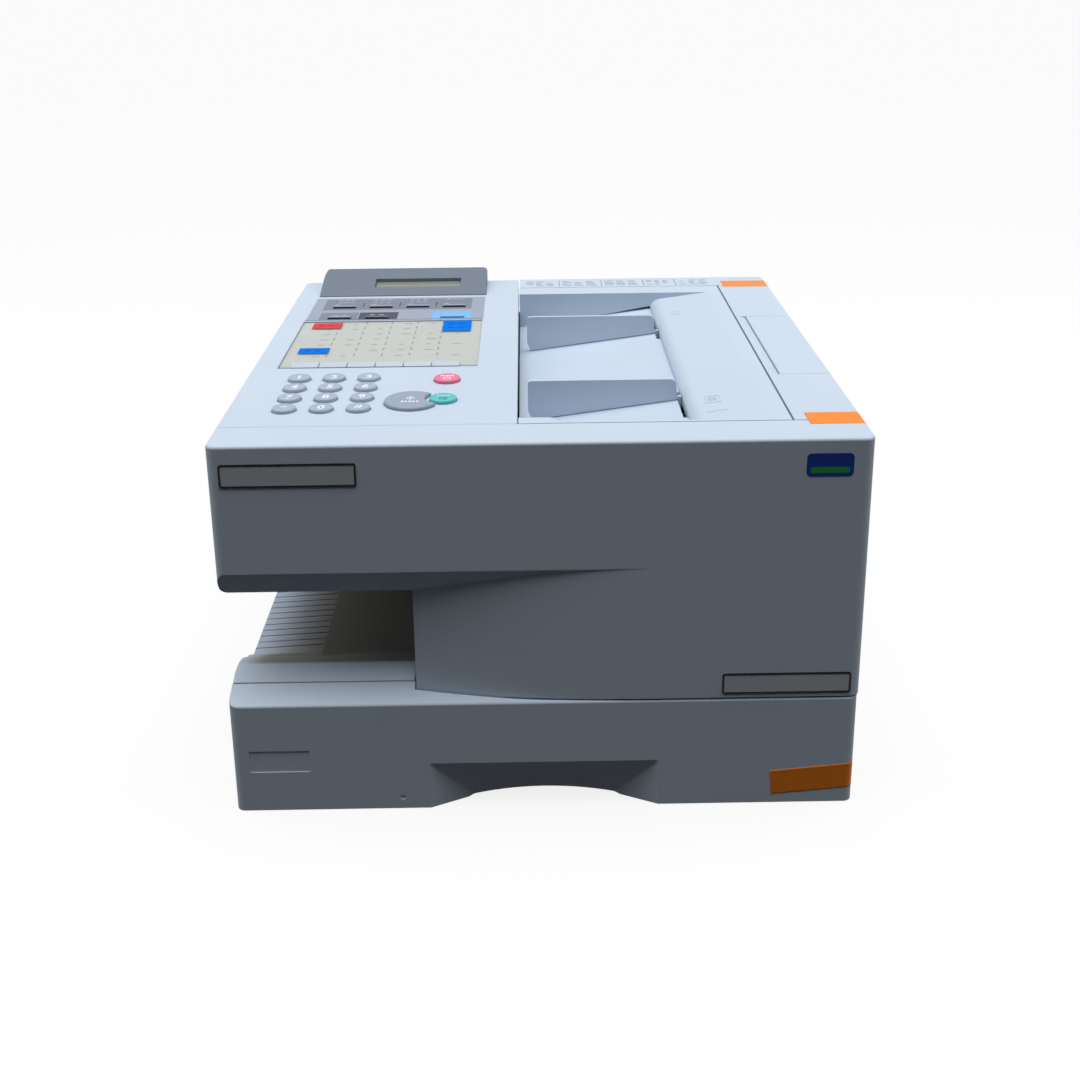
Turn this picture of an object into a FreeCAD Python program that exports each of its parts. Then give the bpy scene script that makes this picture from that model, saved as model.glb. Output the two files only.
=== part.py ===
import FreeCAD, Part
import math
import os

V = FreeCAD.Vector

# Whole machine: X to the right, Y to the back, Z up, millimetres, origin under the middle of the base.
BODY_W = 430.0
BODY_D = 440.0
TOP_Z = 270.0
SIDE_X = BODY_W / 2
FRONT_Y = -BODY_D / 2
BACK_Y = BODY_D / 2
LOW_X = 214.0
WALL = 3.0
SEAM = 0.5
CORNER_R = 7.0
EDGE_R = 2.0
BAY_EDGE_R = 5.0

# Lines that divide the top into the front strip, panel, document tray, door and rear strip.
FRONT_SEAM_Y = -184.0
REAR_SEAM_Y = 186.0
PANEL_X = -15.5
TRAY_X0 = -14.5
TRAY_X1 = 167.5
DOOR_X = 169.0

# Front face: overhang with its chamfer, and the lower face that bows back to the left.
CHAMFER_TOP_Z = 180.5
OVERHANG_Z = 161.4
CHAMFER_D = 12.6
LOWER_Z = 83.5
BAY_X = -87.0
NOSE_X = 75.0
NOSE_R = 1040.0

# Lower frame and the tunnel for the cassette.
FOOT_H = 4.0
FOOT_R = 9.0
FRAME_FRONT_Y = -200.5
DECK_Z = 82.0
BAY_DECK_Z = 66.0
BAY_BACK_Y = 105.0
TUNNEL_X = 209.0
TUNNEL_BACK_Y = 185.0
FLOOR_T = 2.5

# Receiving tray: floor that rises to a crease, then falls towards the exit slot.
BED_X = -210.0
FLOOR_LEFT_Z = 81.8
CREASE_X = -159.5
CREASE_Z = 84.5
FLOOR_RIGHT_Z = 71.0
LIP_END_Y = -148.3
RIB_PITCH = 9.0
RIB_COUNT = 27
GROOVE_W = 1.3
GROOVE_D = 1.1

# Cassette.
CAS_BACK_Y = -201.5
CAS_BOTTOM_Z = 0.4
CAS_TOP_Z = 82.2
CAS_SLOPE_Z = 89.0
NOSE_GAP = 1.0
HAND_X = 81.0
HAND_INNER_X = 47.0
HAND_Z = 38.0
HAND_D = 15.0
HAND_CORNER_R = 4.0
ARCH_R, ARCH_TOP_Z = 168.0, 9.0
LABEL_X0, LABEL_X1, LABEL_Z0, LABEL_Z1, LABEL_DIP = -202.5, -161.0, 30.7, 47.0, 0.5
DIMPLE_X, DIMPLE_Z, DIMPLE_R, DIMPLE_D = -98.0, 9.0, 1.8, 0.6
TRAY_HALF_X = 197.0
TRAY_BOTTOM_Z = 8.0
TRAY_BACK_Y = 160.0
TRAY_TOP_Z = 60.0
LIFT_X0 = -60.0
LIFT_X1 = 188.0
LIFT_Z = 14.0
LIFT_TILT = 9.0
LIFT_PIN_R = 2.0
SPRING_X, SPRING_R, SPRING_WIRE_R, SPRING_TURNS = 150.0, 6.0, 0.75, 7

# Control panel, keys and display.
PANEL_Z = 246.0
PANEL_FRONT_Y = -183.5
PANEL_BACK_Y = 218.5
PANEL_WALL = 2.5
PANEL_TOP_T = 4.0
PANEL_HINGE_Y = 209.0
PANEL_HINGE_Z = 246.0
HINGE_DISC_R = PANEL_BACK_Y - PANEL_HINGE_Y
HINGE_PIN_R = 2.5
RUN_FIT = 0.05
KEY_R = 8.3
KEY_X0 = -175.0
KEY_Y0 = -82.5
KEY_PITCH_X = 25.4
KEY_PITCH_Y = 22.7
KEY_NAMES = [["1", "2", "3"], ["4", "5", "6"], ["7", "8", "9"], ["star", "0", "hash"]]
KEY_TOP_Z = 272.5
KEY_HOLE = 0.4
KEY_FLANGE = 1.5
KEY_FLANGE_Z = 262.5
START_R, START_AT = 18.8, (-89.0, -137.6)
COPY_R, COPY_AT = 9.6, (-67.0, -133.4)
STOP_R, STOP_AT = 9.6, (-66.7, -88.0)
BITE_GAP = 3.2
START_BEVEL = 0.7
KEY_EDGE_R = 1.0
KEY_DISH = 0.5
BAR_W = 19.5
BAR_D = 4.8
BAR_TOP_Z = 271.8
BAR_ROW_1 = [(x, 122.0) for x in (-167.6, -135.6, -103.6, -71.6)]
BAR_ROW_2 = [(x, 86.5) for x in (-167.6, -135.6, -71.6)]
CARD_X0, CARD_X1 = -196.0, -46.0
CARD_Y0, CARD_Y1 = -47.0, 82.0
CARD_FLOOR_Z = 267.6
FLAP_Y, FLAP_Z = CARD_Y1 - 1, 268.8
FLAP_BEAD_R = 0.9
FLAP_GAP = 0.3
FLAP_T = 1.0
TAB_W = 21.3
TAB_COUNT = 6
TAB_X0 = -187.0
TAB_Y0 = -54.0
HUMP_X0, HUMP_X1 = -195.0, -44.5
HUMP_Y0, HUMP_Y1 = 161.5, 216.0
HUMP_TOP_Y, HUMP_TOP_Z = 212.0, 284.0
HUMP_FRONT_Z = 270.8
HUMP_CORNER_R = 4.5
LCD_X0, LCD_X1 = -146.3, -68.6
LCD_Y0, LCD_Y1 = 177.0, 192.0
LCD_SINK, LCD_T = 3.0, 1.4

# Document tray: a floor that rises to the right, a step, then the outer surface.
FLOOR_X0_Z = 239.4
FLOOR_SLOPE = 0.1333
STEP_X = 104.2
STEP_Z = 259.6
RISE_X, RISE_Z = 112.0, 264.2
RIM_X = 155.0
TRAY_T = 3.0
REAR_WALL_Y = 162.0
SLOT_X0 = 101.0
GUIDE_MID_Y = -6.5
GUIDE_HALF = 86.5
GUIDE_T = 3.0
GUIDE_OUT = 36.0
GUIDE_IN = 14.0
GUIDE_X0, GUIDE_X1 = -8.0, 98.5
GUIDE_TOP_Z = 271.0
GEAR_MODULE = 1.0
GEAR_ADD = 0.8
GEAR_DED = 1.1
GEAR_PLAY = 0.2
PRESSURE_ANGLE = math.radians(20)
PINION_TEETH = 16
PINION_X = 102.0
RACK_Z0, RACK_Z1 = 240.0, 244.0

# Side door and its release handle.
DOOR_FRONT_Y = -183.5
DOOR_BACK_Y = 185.5
DOOR_BOTTOM_Z = 94.5
DOOR_AXIS_X, DOOR_AXIS_Z = 209.5, 98.0
HANDLE_Y0, HANDLE_Y1 = -84.0, 77.0
HANDLE_X = 177.5
GROOVE_X = 172.5
GROOVE_DEPTH = 1.8
POCKET_X1 = 207.0
POCKET_Z = 259.0
HANDLE_AXIS_X, HANDLE_AXIS_Z = 210.5, 251.5
HANDLE_PIN_R = 1.8

# Print engine: axes along Y.
DRUM_X, DRUM_Z, DRUM_R = 70.0, 130.4, 12.0
DRUM_TEETH = 24
TRANSFER_R = 7.7
TRANSFER_TEETH = 16
MOTOR_TEETH = 14
MOTOR_SHAFT_R = 2.5
DRUM_SHAFT_R = 4.0
GEAR_Y0, GEAR_Y1 = 112.0, 118.0
SHAFT_R = 3.0
EXIT_X, EXIT_Z, EXIT_R = -76.0, 111.2, 7.0
PICK_X, PICK_Z, PICK_R = 165.0, 67.4, 14.0
FEED_X, FEED_Z, FEED_R = -80.0, 228.7, 8.6

# Rear sockets and switch.
SWITCH_X, SWITCH_Y, SWITCH_Z = -135.0, 214.0, 112.0
SWITCH_TILT = 8.0
SWITCH_PIN_R = 1.5
INLET_X0, INLET_X1, INLET_Z0, INLET_Z1 = -190.0, -160.0, 100.0, 124.0
JACK_X = (-60.0, -40.0)
JACK_W, JACK_Z0, JACK_H = 14.0, 100.0, 14.0
SCREW_AT = [(x, z) for x in (-200.0, -70.0, 60.0, 200.0) for z in (92.0, 220.0)]
SCREW_R, SCREW_HEAD_R, SCREW_SINK = 1.5, 3.5, 2.0

AXES = {"x": V(1, 0, 0), "y": V(0, 1, 0), "z": V(0, 0, 1)}


def box(x0, x1, y0, y1, z0, z1):
    return Part.makeBox(x1 - x0, y1 - y0, z1 - z0, V(x0, y0, z0))


def place(axis, a, u, v):
    """Point at a along the axis, with u and v along the other two in X, Y, Z order."""
    return {"x": V(a, u, v), "y": V(u, a, v), "z": V(u, v, a)}[axis]


def rod(axis, a0, a1, u, v, r):
    return Part.makeCylinder(r, a1 - a0, place(axis, a0, u, v), AXES[axis])


def prism(axis, outline, a0, a1):
    """Outline of (u, v) points pulled from a0 to a1. A step ((u, v), (u, v)) is an arc: middle, end."""
    edges = []
    here = outline[0]
    for step in outline[1:] + [outline[0]]:
        is_arc = isinstance(step[0], tuple)
        end = step[1] if is_arc else step
        p, q = place(axis, a0, *here), place(axis, a0, *end)
        if is_arc:
            edges.append(Part.Arc(p, place(axis, a0, *step[0]), q).toShape())
        elif p.distanceToPoint(q) > 1e-6:
            edges.append(Part.makeLine(p, q))
        here = end
    return Part.Face(Part.Wire(edges)).extrude(AXES[axis] * (a1 - a0))


def joined(first, *others):
    return first.multiFuse(list(others)).removeSplitter()


def edges_at(shape, x=None, y=None, z=None):
    """Edges that lie wholly at the coordinates given."""
    found = []
    for edge in shape.Edges:
        b = edge.BoundBox
        spans = ((b.XMin, b.XMax, x), (b.YMin, b.YMax, y), (b.ZMin, b.ZMax, z))
        if all(want is None or max(abs(low - want), abs(high - want)) < 1e-3 for low, high, want in spans):
            found.append(edge)
    return found


def quarter(cx, cy, r, start):
    """Arc step of a quarter turn about (cx, cy), from the angle start in degrees, anticlockwise."""
    turns = [math.radians(start + 45), math.radians(start + 90)]
    return tuple((cx + r * math.cos(turn), cy + r * math.sin(turn)) for turn in turns)


def gear_outline(teeth, cx, cy, turn):
    """Involute gear with a tooth centred at the angle turn, in degrees."""
    r = GEAR_MODULE * teeth / 2
    base = r * math.cos(PRESSURE_ANGLE)
    tip, root = r + GEAR_ADD * GEAR_MODULE, r - GEAR_DED * GEAR_MODULE

    def half_angle(radius):
        a = math.acos(min(1.0, base / radius))
        grown = math.tan(PRESSURE_ANGLE) - PRESSURE_ANGLE - (math.tan(a) - a)
        return math.pi / (2 * teeth) - GEAR_PLAY / (2 * r) + grown

    low = max(base, root)
    flank = [low + (tip - low) * i / 4 for i in range(5)]
    rising = ([(root, -half_angle(low))] if root < base else []) + [(q, -half_angle(q)) for q in flank]
    tooth = rising + [(q, -a) for q, a in reversed(rising)]
    points = []
    for n in range(teeth):
        middle = math.radians(turn) + 2 * math.pi * n / teeth
        points += [(cx + q * math.cos(middle + a), cy + q * math.sin(middle + a)) for q, a in tooth]
    return points


def nose_y(x, inset=0.0):
    """Front of the lower face at x: a long arc that meets the front plane at NOSE_X."""
    return FRONT_Y + NOSE_R - math.sqrt((NOSE_R - inset) ** 2 - (x - NOSE_X) ** 2)


# Lower frame and outer covers


def feet():
    spots = [(x, y) for x in (-185.0, 185.0) for y in (-182.0, 192.0)]
    return Part.makeCompound([rod("z", 0, FOOT_H, x, y, FOOT_R) for x, y in spots])


def hinge_ear(y0, y1):
    """Ear on the frame's right edge that carries the door."""
    foot_z = DECK_Z - 2
    outline = [(201.0, foot_z), (206.0, foot_z), (213.0, DOOR_AXIS_Z), (205.0, DOOR_AXIS_Z)]
    neck = prism("y", outline, y0, y1)
    ring = rod("y", y0, y1, DOOR_AXIS_X, DOOR_AXIS_Z, 5.0)
    return neck.fuse(ring).cut(rod("y", y0 - 1, y1 + 1, DOOR_AXIS_X, DOOR_AXIS_Z, HINGE_PIN_R + RUN_FIT))


def bearing(x, z, r, y0, y1, base_z, half=8.0):
    """Upright plate with a bore for a shaft along Y."""
    rise = 7.0 if z > base_z else -7.0
    plate = box(x - half, x + half, y0, y1, min(base_z, z + rise), max(base_z, z + rise))
    return plate.cut(rod("y", y0 - 1, y1 + 1, x, z, r + RUN_FIT))


DOOR_EARS = [(-172.0, -167.0), (168.0, 173.0)]
BEARING_Y = [(-140.0, -136.0), (104.0, 108.0)]
PICK_BEARING_Y = [(-142.0, -138.0), (128.0, 132.0)]


def base_frame():
    outer = box(-LOW_X, LOW_X, FRAME_FRONT_Y, BACK_Y - SEAM, FOOT_H, DECK_Z)
    outer = outer.makeFillet(CORNER_R - 1, edges_at(outer, x=LOW_X, y=BACK_Y - SEAM))
    outer = outer.makeFillet(CORNER_R - 1, edges_at(outer, x=-LOW_X, y=BACK_Y - SEAM))
    floor_z = FOOT_H + FLOOR_T
    tunnel = box(-TUNNEL_X, TUNNEL_X, FRAME_FRONT_Y - 1, TUNNEL_BACK_Y, floor_z, DECK_Z - WALL)
    rear_void = box(-TUNNEL_X, TUNNEL_X, TUNNEL_BACK_Y + WALL, BACK_Y - WALL - SEAM, floor_z, DECK_Z - WALL)
    bay_cut = box(-LOW_X - 1, BAY_X - 1, FRAME_FRONT_Y - 1, BAY_BACK_Y, BAY_DECK_Z, DECK_Z + 1)
    paper_slot = box(150, 200, -134, 124, DECK_Z - 10, DECK_Z + 1)
    frame = outer.cut(tunnel).cut(rear_void)
    bay_deck = box(-TUNNEL_X - 1, BAY_X, FRAME_FRONT_Y, BAY_BACK_Y + WALL, BAY_DECK_Z - WALL, BAY_DECK_Z)
    bay_step = box(BAY_X - 1, BAY_X + 2, FRAME_FRONT_Y, BAY_BACK_Y + WALL, BAY_DECK_Z - WALL, DECK_Z)
    bay_rear = box(-TUNNEL_X - 1, BAY_X, BAY_BACK_Y, BAY_BACK_Y + WALL, BAY_DECK_Z - WALL, DECK_Z)
    rails = [box(s * 204.5 - 4.6, s * 204.5 + 4.6, -190, 180, floor_z - 1, 16) for s in (-1, 1)]
    sill = box(LOW_X - WALL, LOW_X, FRONT_SEAM_Y, REAR_SEAM_Y, DECK_Z - 1, 91.0)
    frame = joined(frame.cut(bay_cut).cut(paper_slot), bay_deck, bay_step, bay_rear, sill, *rails)
    ears = [hinge_ear(*span) for span in DOOR_EARS]
    sill_gap = [box(LOW_X - 4, LOW_X + 1, y0 - 1, y1 + 1, DECK_Z, 92) for y0, y1 in DOOR_EARS]
    frame = frame.cut(Part.makeCompound(sill_gap))
    transfer_z = DRUM_Z - GEAR_MODULE * (DRUM_TEETH + TRANSFER_TEETH) / 2
    stands = [bearing(DRUM_X, transfer_z, SHAFT_R, y0, y1, DECK_Z - 1) for y0, y1 in BEARING_Y]
    hangers = [bearing(PICK_X, PICK_Z, SHAFT_R + 1, y0, y1, DECK_Z - 1) for y0, y1 in PICK_BEARING_Y]
    return joined(frame, *ears, *stands, *hangers)


def front_form(inset, back_y):
    """Front cover as a solid, drawn in all round by the inset."""
    left, right, front = -SIDE_X + inset, SIDE_X - inset, FRONT_Y + inset
    r = CORNER_R - inset
    upper_plan = [(left, back_y), (left, front + r), quarter(left + r, front + r, r, 180), (right - r, front),
                  quarter(right - r, front + r, r, 270), (right, back_y)]
    upper = prism("z", upper_plan, OVERHANG_Z + inset, TOP_Z - inset)
    if inset == 0:
        rim = [e for e in edges_at(upper, z=TOP_Z) if e.BoundBox.YMin < back_y - 1e-3]
        upper = upper.makeFillet(EDGE_R, rim)
        upper = upper.makeFillet(BAY_EDGE_R, edges_at(upper, x=left, z=OVERHANG_Z))
    drop = CHAMFER_TOP_Z - OVERHANG_Z
    length = math.hypot(CHAMFER_D, drop)
    along = (CHAMFER_D / length, -drop / length)
    shift = (inset * drop / length, inset * CHAMFER_D / length)
    a = (FRONT_Y + shift[0] - 40 * along[0], CHAMFER_TOP_Z + shift[1] - 40 * along[1])
    b = (FRONT_Y + shift[0] + 60 * along[0], CHAMFER_TOP_Z + shift[1] + 60 * along[1])
    upper = upper.cut(prism("x", [a, b, (FRONT_Y - 60, OVERHANG_Z - 60)], -SIDE_X - 5, SIDE_X + 5))
    edge_x = BAY_X + inset
    mid_x = (edge_x + NOSE_X) / 2
    bow = ((mid_x, nose_y(mid_x, inset)), (NOSE_X, front))
    lower_plan = [(edge_x, nose_y(edge_x, inset)), bow, (right - r, front),
                  quarter(right - r, front + r, r, 270), (right, back_y), (edge_x, back_y)]
    lower = prism("z", lower_plan, LOWER_Z + inset, CHAMFER_TOP_Z + 20)
    return upper.fuse(lower).removeSplitter()


def front_cover():
    back_y = FRONT_SEAM_Y - SEAM
    return front_form(0.0, back_y).cut(front_form(WALL, back_y + 1))


def left_cover():
    out_x, in_x, r = -SIDE_X, -SIDE_X + WALL, BAY_EDGE_R
    roof_z, top_z = OVERHANG_Z + WALL, PANEL_Z - SEAM
    bend_z, end_x = OVERHANG_Z + r, BAY_X + WALL
    outline = [(out_x, bend_z), quarter(out_x + r, bend_z, r, 180), (end_x, OVERHANG_Z), (end_x, roof_z),
               (out_x + r, roof_z), (in_x, bend_z), (in_x, top_z), (out_x, top_z)]
    cover = prism("y", outline, FRONT_SEAM_Y, BAY_BACK_Y + WALL)
    rear = box(out_x, in_x, BAY_BACK_Y, BACK_Y - WALL - SEAM, DECK_Z + SEAM, top_z)
    exit_slot = box(out_x - 1, in_x + 1, -135, 120, 226, 241)
    hinge_cup = rod("x", out_x - 1, in_x + 1, PANEL_HINGE_Y, PANEL_HINGE_Z, HINGE_DISC_R + 0.6)
    return joined(cover, rear).cut(exit_slot).cut(hinge_cup)


def bay_wall():
    z0, z1 = DECK_Z + SEAM, OVERHANG_Z - SEAM
    side = box(BAY_X, BAY_X + WALL, FRONT_SEAM_Y, BAY_BACK_Y + WALL, z0, z1)
    back = box(-SIDE_X + WALL + SEAM, BAY_X, BAY_BACK_Y, BAY_BACK_Y + WALL, z0, z1)
    slot = box(BAY_X - 1, BAY_X + WALL + 1, -135, 95, 112, 127)
    tabs = []
    for y0, y1 in ((-142.0, -139.0), (98.0, 101.0)):
        tab = box(BAY_X + 1, EXIT_X + 8, y0, y1, EXIT_Z - 9, EXIT_Z + 8)
        tabs.append(tab.cut(rod("y", y0 - 1, y1 + 1, EXIT_X, EXIT_Z, SHAFT_R + RUN_FIT)))
    return joined(side.cut(slot), back, *tabs)


def panel_hinge_ear(x0, x1):
    ring = rod("x", x0, x1, PANEL_HINGE_Y, PANEL_HINGE_Z, 5.0)
    neck = box(x0, x1, 204.5, 212.0, 226, PANEL_HINGE_Z)
    web = box(x0, x1, 204.5, BACK_Y - WALL + 0.5, 226, 231)
    pin_hole = rod("x", x0 - 1, x1 + 1, PANEL_HINGE_Y, PANEL_HINGE_Z, HINGE_PIN_R + RUN_FIT)
    return joined(ring, neck, web).cut(pin_hole)


PANEL_EARS = [(-204.0, -200.0), (-32.0, -28.0)]


def vent_slots():
    """Two banks of upright slots."""
    slots = []
    for bank_x in (20.0, 120.0):
        for n in range(12):
            x = bank_x + 6.0 * n
            slots.append(box(x, x + 3.0, BACK_Y - WALL - 1, BACK_Y + 1, 130, 190))
    return Part.makeCompound(slots)


def rear_cover():
    inner_y = BACK_Y - WALL
    left_x = TRAY_X0 + SEAM
    left = box(-SIDE_X, left_x, inner_y, BACK_Y, DECK_Z + SEAM, 238.5)
    right_plan = [(left_x, REAR_SEAM_Y + SEAM), (SIDE_X, REAR_SEAM_Y + SEAM), (SIDE_X, BACK_Y - CORNER_R),
                  quarter(SIDE_X - CORNER_R, BACK_Y - CORNER_R, CORNER_R, 0), (left_x, BACK_Y)]
    right = prism("z", right_plan, DECK_Z + SEAM, TOP_Z)
    rim = [e for e in edges_at(right, z=TOP_Z) if e.BoundBox.YMax > REAR_SEAM_Y + 1 and e.BoundBox.XMax > 0]
    right = right.makeFillet(EDGE_R, rim)
    hollow = box(left_x + WALL, SIDE_X - WALL, REAR_SEAM_Y, inner_y, DECK_Z, TOP_Z - WALL)
    flank_cut = box(left_x - 1, left_x + WALL + 1, REAR_SEAM_Y, inner_y, DECK_Z, 238.5)
    cover = joined(right.cut(hollow).cut(flank_cut), left)
    posts = [rod("y", 207.8, inner_y + 1, x, z, 3.0) for x in (-70.0, 180.0) for z in (120.0, 205.0)]
    lugs = [box(x - 1.75, x + 1.75, 209, inner_y + 1, SWITCH_Z - 5, SWITCH_Z + 5)
            for x in (SWITCH_X - 9.25, SWITCH_X + 9.25)]
    cover = joined(cover, *posts, *lugs, *[panel_hinge_ear(*span) for span in PANEL_EARS])
    holes = [box(INLET_X0 - SEAM, INLET_X1 + SEAM, inner_y - 1, BACK_Y + 1, INLET_Z0 - SEAM, INLET_Z1 + SEAM),
             box(SWITCH_X - 7.5, SWITCH_X + 7.5, inner_y - 1, BACK_Y + 1, SWITCH_Z - 11, SWITCH_Z + 11),
             rod("x", SWITCH_X - 12, SWITCH_X + 12, SWITCH_Y, SWITCH_Z, SWITCH_PIN_R + RUN_FIT)]
    jack_z = (JACK_Z0 - SEAM, JACK_Z0 + JACK_H + SEAM)
    for x in JACK_X:
        holes.append(box(x - SEAM, x + JACK_W + SEAM, inner_y - 1, BACK_Y + 1, *jack_z))
    for x, z in SCREW_AT:
        holes.append(rod("y", inner_y - 1, BACK_Y + 1, x, z, SCREW_R + 0.2))
        holes.append(rod("y", BACK_Y - SCREW_SINK, BACK_Y + 1, x, z, SCREW_HEAD_R + 0.4))
    for shape in holes:
        cover = cover.cut(shape)
    return cover.cut(vent_slots())


def cover_screws():
    screws = []
    for x, z in SCREW_AT:
        head = rod("y", BACK_Y - SCREW_SINK, BACK_Y - 0.4, x, z, SCREW_HEAD_R)
        cross = joined(box(x - 2, x + 2, BACK_Y - 1.2, BACK_Y, z - 0.5, z + 0.5),
                       box(x - 0.5, x + 0.5, BACK_Y - 1.2, BACK_Y, z - 2, z + 2))
        shank = rod("y", BACK_Y - 12, BACK_Y - SCREW_SINK + 0.1, x, z, SCREW_R)
        screws.append(head.fuse(shank).cut(cross))
    return Part.makeCompound(screws)


# Receiving tray and cassette


def receiving_tray():
    lip_x, x0, x1 = -LOW_X, BED_X, BAY_X - 1.5
    bottom = BAY_DECK_Z + 0.3
    lip = [(FRAME_FRONT_Y, bottom), (FRAME_FRONT_Y, 89.4), ((-193.5, 92.4), (-186.0, 93.5)),
           ((-169.5, 91.0), (-155.0, 83.0)), (LIP_END_Y, FLOOR_LEFT_Z), (LIP_END_Y, bottom)]
    bed = [(x0, bottom), (x0, FLOOR_LEFT_Z), (CREASE_X, CREASE_Z), (x1, FLOOR_RIGHT_Z), (x1, bottom)]
    tray = joined(prism("x", lip, lip_x, x1), prism("y", bed, FRAME_FRONT_Y, BAY_BACK_Y - SEAM))
    outer_rim = [e for e in edges_at(tray, x=lip_x) if e.BoundBox.ZMin > FLOOR_LEFT_Z - 1]
    tray = tray.makeFillet(1.5, outer_rim)
    hollow = [(x0 + WALL, bottom - 1), (x0 + WALL, FLOOR_LEFT_Z - WALL), (CREASE_X, CREASE_Z - WALL),
              (x1 - WALL, FLOOR_RIGHT_Z - WALL), (x1 - WALL, bottom - 1)]
    tray = tray.cut(prism("y", hollow, FRAME_FRONT_Y + WALL, BAY_BACK_Y - SEAM - WALL))
    groove = [(x0 - 1, FLOOR_LEFT_Z - GROOVE_D), (CREASE_X, CREASE_Z - GROOVE_D), (CREASE_X, CREASE_Z + 5),
              (x0 - 1, CREASE_Z + 5)]
    grooves = []
    for n in range(1, RIB_COUNT + 1):
        y = LIP_END_Y + RIB_PITCH * n
        grooves.append(prism("y", groove, y - GROOVE_W / 2, y + GROOVE_W / 2))
    return tray.cut(Part.makeCompound(grooves))


def hand_wedge(grow):
    """Scoop under the cassette's front: deepest and narrowest at the bottom."""
    front, back = FRONT_Y - 1, FRONT_Y + HAND_D + grow
    wide, narrow, top, low = HAND_X + grow, HAND_INNER_X + grow, HAND_Z + grow, -1.0
    a, b = V(-wide, front, top), V(wide, front, top)
    c, d = V(-wide, front, low), V(wide, front, low)
    e, f = V(-narrow, back, low), V(narrow, back, low)
    loops = [(a, c, d, b), (c, e, f, d), (a, b, f, e), (a, e, c), (b, d, f)]
    faces = [Part.Face(Part.makePolygon(list(loop) + [loop[0]])) for loop in loops]
    wedge = Part.Solid(Part.Shell(faces))
    slanted = [e for e in wedge.Edges if e.BoundBox.XLength > 1 and e.BoundBox.ZLength > 1]
    return wedge.makeFillet(HAND_CORNER_R, slanted)


def cassette_front():
    r = 1.5
    side = [(CAS_BACK_Y, CAS_BOTTOM_Z), (FRONT_Y, CAS_BOTTOM_Z), (FRONT_Y, CAS_TOP_Z - r),
            ((FRONT_Y + 0.35, CAS_TOP_Z - 0.35), (FRONT_Y + r, CAS_TOP_Z + 0.4)), (CAS_BACK_Y, CAS_SLOPE_Z)]
    turn = CORNER_R - 1
    plan = [(-LOW_X, CAS_BACK_Y), (-LOW_X, FRONT_Y + turn), quarter(-LOW_X + turn, FRONT_Y + turn, turn, 180),
            (LOW_X - turn, FRONT_Y), quarter(LOW_X - turn, FRONT_Y + turn, turn, 270), (LOW_X, CAS_BACK_Y)]
    outer = prism("x", side, -LOW_X, LOW_X).common(prism("z", plan, 0, TOP_Z))
    edge_x = BAY_X - 1
    mid_x = (edge_x + NOSE_X) / 2
    gap_y = FRONT_Y - NOSE_GAP
    bow = ((mid_x, nose_y(mid_x, -NOSE_GAP)), (NOSE_X, gap_y))
    behind_nose = [(edge_x, nose_y(edge_x, -NOSE_GAP)), bow, (SIDE_X + 1, gap_y),
                   (SIDE_X + 1, CAS_BACK_Y + 1), (edge_x, CAS_BACK_Y + 1)]
    outer = outer.cut(prism("z", behind_nose, CAS_TOP_Z, CAS_SLOPE_Z + 5))
    inner_x, inner_z = LOW_X - WALL, (CAS_BOTTOM_Z + WALL, CAS_TOP_Z - WALL)
    hollow = box(-inner_x, inner_x, FRONT_Y + WALL, CAS_BACK_Y + 1, *inner_z)
    arch = rod("y", FRONT_Y + 5, CAS_BACK_Y + 1, 0, ARCH_TOP_Z - ARCH_R, ARCH_R)
    label_dip = box(LABEL_X0, LABEL_X1, FRONT_Y - 1, FRONT_Y + LABEL_DIP, LABEL_Z0, LABEL_Z1)
    dimple = rod("y", FRONT_Y - 1, FRONT_Y + DIMPLE_D, DIMPLE_X, DIMPLE_Z, DIMPLE_R)
    shell = outer.cut(hollow.cut(hand_wedge(WALL))).cut(hand_wedge(0.0))
    return shell.cut(arch).cut(label_dip).cut(dimple)


def cassette_tray():
    front = CAS_BACK_Y + 0.2
    outer = box(-TRAY_HALF_X, TRAY_HALF_X, front, TRAY_BACK_Y, TRAY_BOTTOM_Z, TRAY_TOP_Z)
    well_x, well_y = TRAY_HALF_X - FLOOR_T, (front + FLOOR_T, TRAY_BACK_Y - FLOOR_T)
    well = box(-well_x, well_x, *well_y, TRAY_BOTTOM_Z + FLOOR_T, TRAY_TOP_Z + 1)
    roller_gap = box(PICK_X - 24, PICK_X + 22, TRAY_BACK_Y - 4, TRAY_BACK_Y + 1, 46, TRAY_TOP_Z + 1)
    posts = []
    for y0, y1 in ((-128.0, -124.0), (114.0, 118.0)):
        post = box(LIFT_X0 - 5, LIFT_X0 + 5, y0, y1, TRAY_BOTTOM_Z, LIFT_Z + 5)
        posts.append(post.cut(rod("y", y0 - 1, y1 + 1, LIFT_X0, LIFT_Z, LIFT_PIN_R + RUN_FIT)))
    return joined(outer.cut(well).cut(roller_gap), *posts)


def lift_plate():
    """Sheet that presses the paper up against the pick-up roller, drawn in its raised place."""
    z0 = LIFT_Z - 0.75
    plate = box(LIFT_X0, LIFT_X1, -122, 112, z0, z0 + 1.5)
    notches = [box(40, 140, y0, y1, z0 - 1, z0 + 3) for y0, y1 in ((-123, -100), (90, 113))]
    plate = plate.cut(Part.makeCompound(notches))
    sheet = joined(plate, rod("y", -127, 117, LIFT_X0, LIFT_Z, LIFT_PIN_R))
    sheet.rotate(V(LIFT_X0, 0, LIFT_Z), V(0, -1, 0), LIFT_TILT)
    return sheet


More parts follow.
